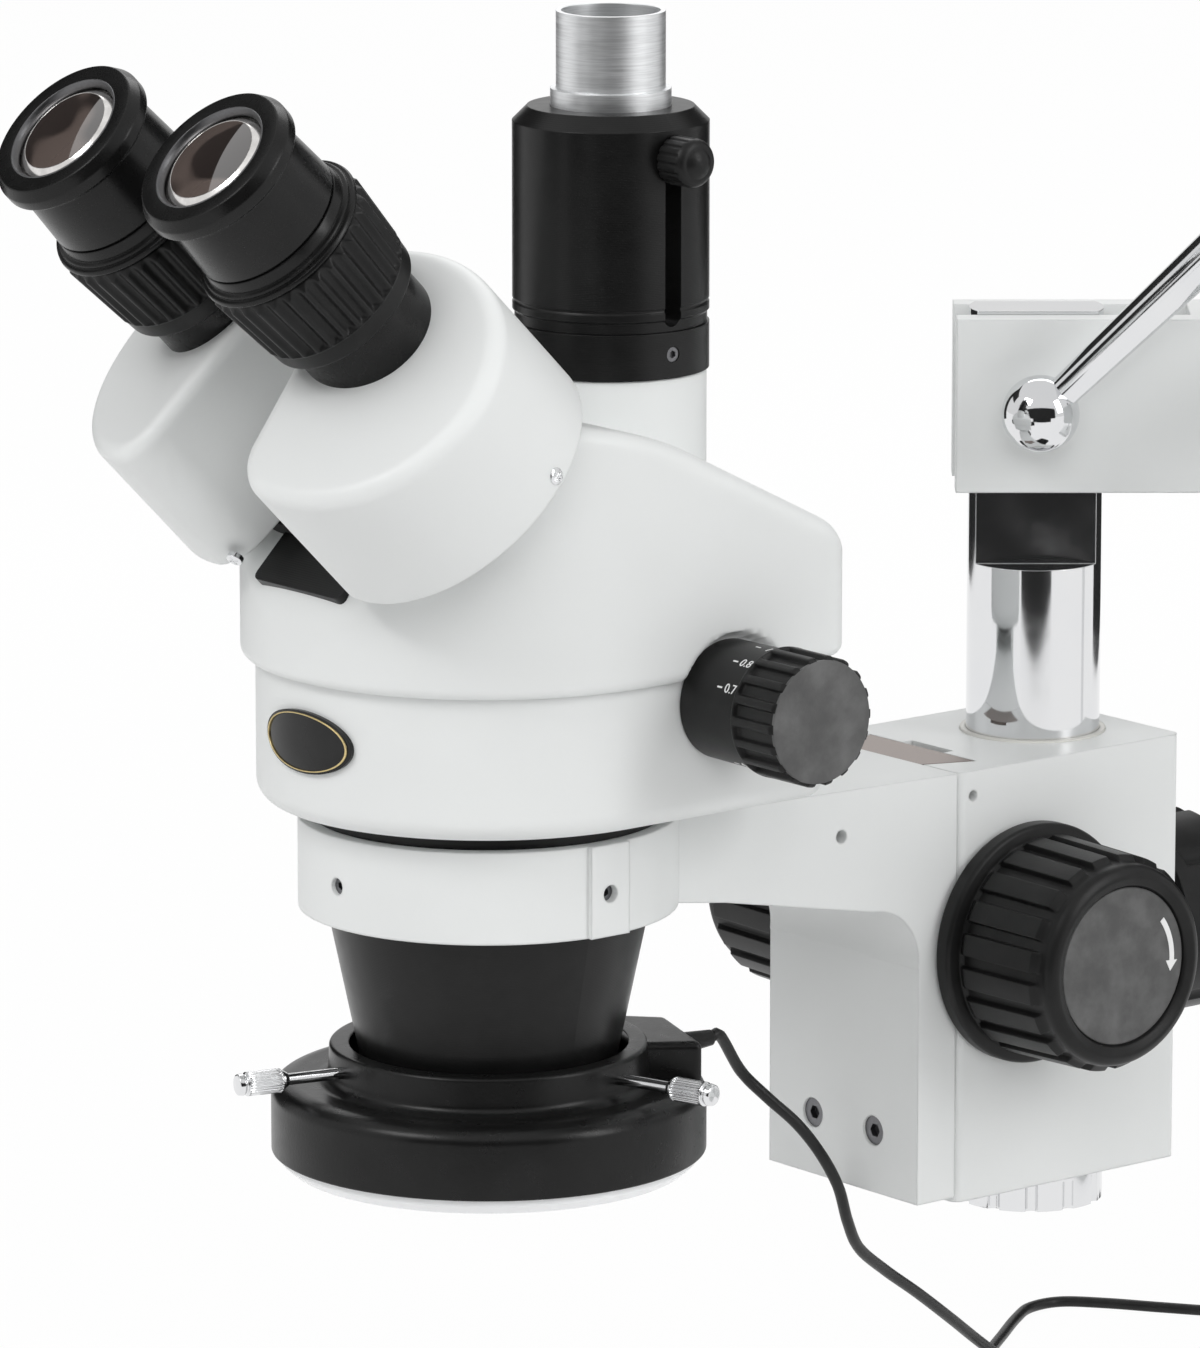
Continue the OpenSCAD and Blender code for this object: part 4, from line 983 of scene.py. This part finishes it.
class MICROSCOPE_OT_lever(bpy.types.Operator):
    """Make the boom's tilt lever: a hub, a ball and a rod that widens to its rounded end"""

    bl_idname = "microscope.lever"
    bl_label = "Lever"

    def execute(self, context):
        t = np.radians(np.linspace(0, 180, 60))
        ball = turned(BALL_R * np.column_stack([np.sin(t), np.cos(t)]), 96)
        along = (cos(ROD_LEAN) * sin(ROD_RISE), -sin(ROD_LEAN), cos(ROD_LEAN) * cos(ROD_RISE))
        aside = np.cross((0, 1.0, 0), along)
        place = LEVER.at(0, BALL_Y, 0).facing(along, aside / np.linalg.norm(aside))
        rod = turned(rounded([(0, 4, 0), (3.8, 4, 0), (5.6, 78, 0), (5.6, 83.6, 5.5), (0, 83.6, 0)], 14), 64)
        hub = turned(rounded([(0, -9.6, 0), (6.5, -9.6, 0), (6.5, -5.6, 0.4), (0, -5.6, 0)], 3), 64)
        piece("tilt_lever", ball, place, "tilt_lever", "chrome_plate", stands_for=("tilt_lever",))
        piece("tilt_rod", rod, place, "tilt_lever", "chrome_plate")
        place = LEVER.at(0, BALL_Y, 0).facing((0, -1, 0), (1, 0, 0))
        piece("tilt_hub", hub, place, "tilt_lever", "chrome_plate")
        return {"FINISHED"}


# ---- ring light ----

# Half sections as corners (radius, height, fillet).
HOUSING_LINE = [
    (32, 0.6, 0.3), (34, 0.2, 0), (34, 9, 0), (47.6, 9, 0), (47.6, 0.1, 0), (50, 0, 0.3),
    (50, 15.3, 3.6), (45.5, 16.6, 6), (39.5, 16.2, 3), (36.9, 17.4, 1.8), (36.6, 25, 0.9),
    (32, 25, 0.5),
]
DIFFUSER_LINE = [
    (32.4, 0, 0), (32.4, -2.6, 0.8), (34.5, -4, 1.4), (45.8, -4, 1.6), (48.3, -1.8, 1),
    (48.5, 0.5, 0.2), (47.4, 0.6, 0), (47.4, 4.4, 0), (33.9, 4.4, 0), (33.9, 0, 0),
]
SCREW_LINE = [
    (0, 30.2, 0), (1.1, 30.2, 0.2), (1.35, 31, 0.1), (1.35, 50.2, 0), (1.7, 50.4, 0.1),
    (2.3, 51.4, 0.2), (2.3, 51.8, 0), (2.8, 52, 0.2), (2.8, 60.4, 0.2), (2.3, 60.6, 0),
    (2.3, 61, 0.1), (2.6, 61.3, 0.2), (2.4, 62.6, 0.4), (0, 62.8, 0),
]
OUTLET = np.array([(32.5, 37), (7.7, 46.3), (-6, 34.1), (23.4, 23.5)])


def lamp_bump(x, y, z):
    """The housing's block: a four-sided prism over the outlet's corners with its edges rounded."""
    solid = z - 24.8
    for (x0, y0), (x1, y1) in zip(OUTLET, np.roll(OUTLET, -1, axis=0)):
        solid = both(solid, ((x - x0) * (y1 - y0) - (y - y0) * (x1 - x0)) / np.hypot(x1 - x0, y1 - y0), 1.6)
    return np.maximum(solid, 10 - z)


def lead_saddle(x, y, z):
    """The low seat of the lead's relief on the housing's flank."""
    seat = both(np.abs(x) - 6, np.maximum(np.hypot(x, y) - 53.2, 42 - y), 1.5)
    return both(seat, np.maximum(z - 16.8, 8 - z), 1.5)


class MICROSCOPE_OT_ring_light(bpy.types.Operator):
    """Make the ring light: housing with its outlet, diffuser and thumbscrews"""

    bl_idname = "microscope.ring_light"
    bl_label = "Ring light"

    def execute(self, context):
        housing, stands = turned(ring_of(HOUSING_LINE, 8), 200), ("lamp_housing",)
        piece("lamp_housing", housing, HEAD, "ring_light", "black_lamp", None, stands, wrap=True, sharp=40)
        block = cast(lamp_bump, (14.5, 35.5, 0), *fan(levels((10, 0.05), (10.1, 1), (19, 1)), 1), turns=240)
        seat = cast(lead_saddle, (0, 46, 0), *fan(levels((8, 0.05), (8.1, 1), (12, 1)), 2), turns=120)
        piece("lamp_outlet", [block, seat], HEAD, "ring_light", "black_lamp", sharp=40)
        diffuser, stands = turned(ring_of(DIFFUSER_LINE, 6), 200), ("lamp_diffuser",)
        piece("lamp_diffuser", diffuser, HEAD, "ring_light", "diffuser_white", None, stands, wrap=True)
        for name, turn in (("left", 256), ("right", 16), ("rear", 136)):
            a = radians(turn)
            self.screw(name, HEAD.at(0, 0, 21).facing((cos(a), sin(a), 0), (0, 0, 1)))
        return {"FINISHED"}

    def screw(self, name, place):
        """A slim shank and a head with 26 fine ridges between plain collars."""
        name = f"lamp_screw_{name}"
        screw = turned(finer(rounded(SCREW_LINE, 4), 0.8, closed=False), 208, self.ridged)
        piece(name, screw, place, name, "chrome_plate", stands_for=(name,), sharp=30)

    def ridged(self, r, t, z):
        """Grooves 0.28 deep between 26 bars on the head's straight part."""
        return np.where(between(z, 52.2, 60.2, 0.1) > 0.9, r - 0.28 * bars(t, 26, 0.45, 0.3), r)


# ---- lead ----

LEAD_D = 2.8
LEAD_END = 66
LEAD_AIR = [
    (-70.3, -52.5, 104.2), (-63.9, -50.5, 97.2), (-57, -49.5, 90.6), (-51.5, -47.5, 83), (-47.1, -43.5, 73.8),
    (-44.6, -37.5, 63.5), (-41.6, -29.5, 54.8), (-35, -17.5, 46), (-26.6, -4.5, 36.6), (-18.2, 9.5, 26.4),
    (-11.8, 22.5, 17.8), (-6, 33, 10.5), (-1.5, 39, 5), (2.5, 43, 2.3),
]
LEAD_BENCH = [
    (9, 45.5), (16, 42.5), (19, 35), (16, 27.5), (8, 24), (-1, 27), (-6.5, 37), (-8, 50), (-6, 66), (-2, 82),
    (2, 97), (6, 107), (14, 112.5), (26, 111), (40, 107), (55, 103.5), (68, 105), (79, 112), (87, 121.5),
    (94, 130.5), (102, 135.2),
]
COIL_CENTRE = (112, 158)
COIL_OUT = 22.8
COIL_STEP = 3.3
COIL_TURNS = 4
BENCH = Place((POST[0], POST[1], 0))


def coil_route():
    """Spiral in on the bench and out again one layer higher: the radius falls one step a turn, then grows."""
    u = np.linspace(0, 2 * COIL_TURNS, 2 * COIL_TURNS * 36 + 1)
    r = COIL_OUT - COIL_STEP * np.where(u < COIL_TURNS, u, 2 * COIL_TURNS - u)
    z = LEAD_D / 2 + COIL_STEP * np.clip((u - COIL_TURNS + 0.25) / 0.5, 0, 1)
    a = radians(360) * u - pi / 2
    x, y = COIL_CENTRE
    turns = np.stack([x + r * np.cos(a), y + r * np.sin(a), z], 1)
    first = [[x - LEAD_D, y - COIL_OUT, LEAD_D / 2]]
    last = [[x + 7, y - COIL_OUT, LEAD_D / 2 + COIL_STEP]]
    return np.concatenate([first, turns, last])


class MICROSCOPE_OT_lead(bpy.types.Operator):
    """Make the ring light's lead, from its strain relief over the bench to its coil and plug"""

    bl_idname = "microscope.lead"
    bl_label = "Lead"

    def execute(self, context):
        start = [(HEAD((0, LEAD_END + d, 15)) - BENCH.origin) / MM for d in (0, 3)]
        bench = [(x, y, LEAD_D / 2) for x, y in LEAD_BENCH]
        loose = smooth_path([*start, *LEAD_AIR, *bench, coil_route()[0]])
        route = np.concatenate([loose[:-1], coil_route()])
        tube = capped(swept(route, LEAD_D / 2, 12))
        stands = ("lead", "lead_coil")
        lead = piece("ring_light_lead", tube, BENCH, "ring_light", "cord_black", None, stands, sharp=60)
        tuple(BENCH(route[0]))
        [tuple(p) for p in BENCH(route)]
        return {"FINISHED"}


class MICROSCOPE_OT_finishes(bpy.types.Operator):
    """Give every carried-over node its finish"""

    bl_idname = "microscope.finishes"
    bl_label = "Finishes"

    def execute(self, context):
        make_materials()
        for entry in frame["record"]["subparts"]:
            data = NODES[entry["node"]].data
            data.materials.clear()
            slot = entry["material_slot"]
            data.materials.append(MATERIALS[SHARED_FINISH.get(slot, slot)])
        NODES["slide_bar"].data.materials[0] = MATERIALS["gib"]
        return {"FINISHED"}


# ---- panel and main ----

OPERATORS = (
    MICROSCOPE_OT_stage,
    MICROSCOPE_OT_finishes,
    MICROSCOPE_OT_casings,
    MICROSCOPE_OT_binocular,
    MICROSCOPE_OT_knobs,
    MICROSCOPE_OT_lever,
    MICROSCOPE_OT_ring_light,
    MICROSCOPE_OT_lead,
)


class MICROSCOPE_PT_panel(bpy.types.Panel):
    bl_label = "Stereo microscope"
    bl_idname = "MICROSCOPE_PT_panel"
    bl_space_type = "VIEW_3D"
    bl_region_type = "UI"
    bl_category = "Microscope"

    def draw(self, context):
        for key in MicroscopeSettings.__annotations__:
            self.layout.prop(context.scene.microscope, key)
        for operator in OPERATORS:
            self.layout.operator(operator.bl_idname)


CLASSES = (MicroscopeSettings, *OPERATORS, MICROSCOPE_PT_panel)


def register():
    for made in CLASSES:
        bpy.utils.register_class(made)
    bpy.types.Scene.microscope = PointerProperty(type=MicroscopeSettings)


def unregister():
    del bpy.types.Scene.microscope
    for made in reversed(CLASSES):
        bpy.utils.unregister_class(made)


def main():
    register()
    for operator in OPERATORS:
        group, name = operator.bl_idname.split(".")
        getattr(getattr(bpy.ops, group), name)()


if __name__ == "__main__":
    main()
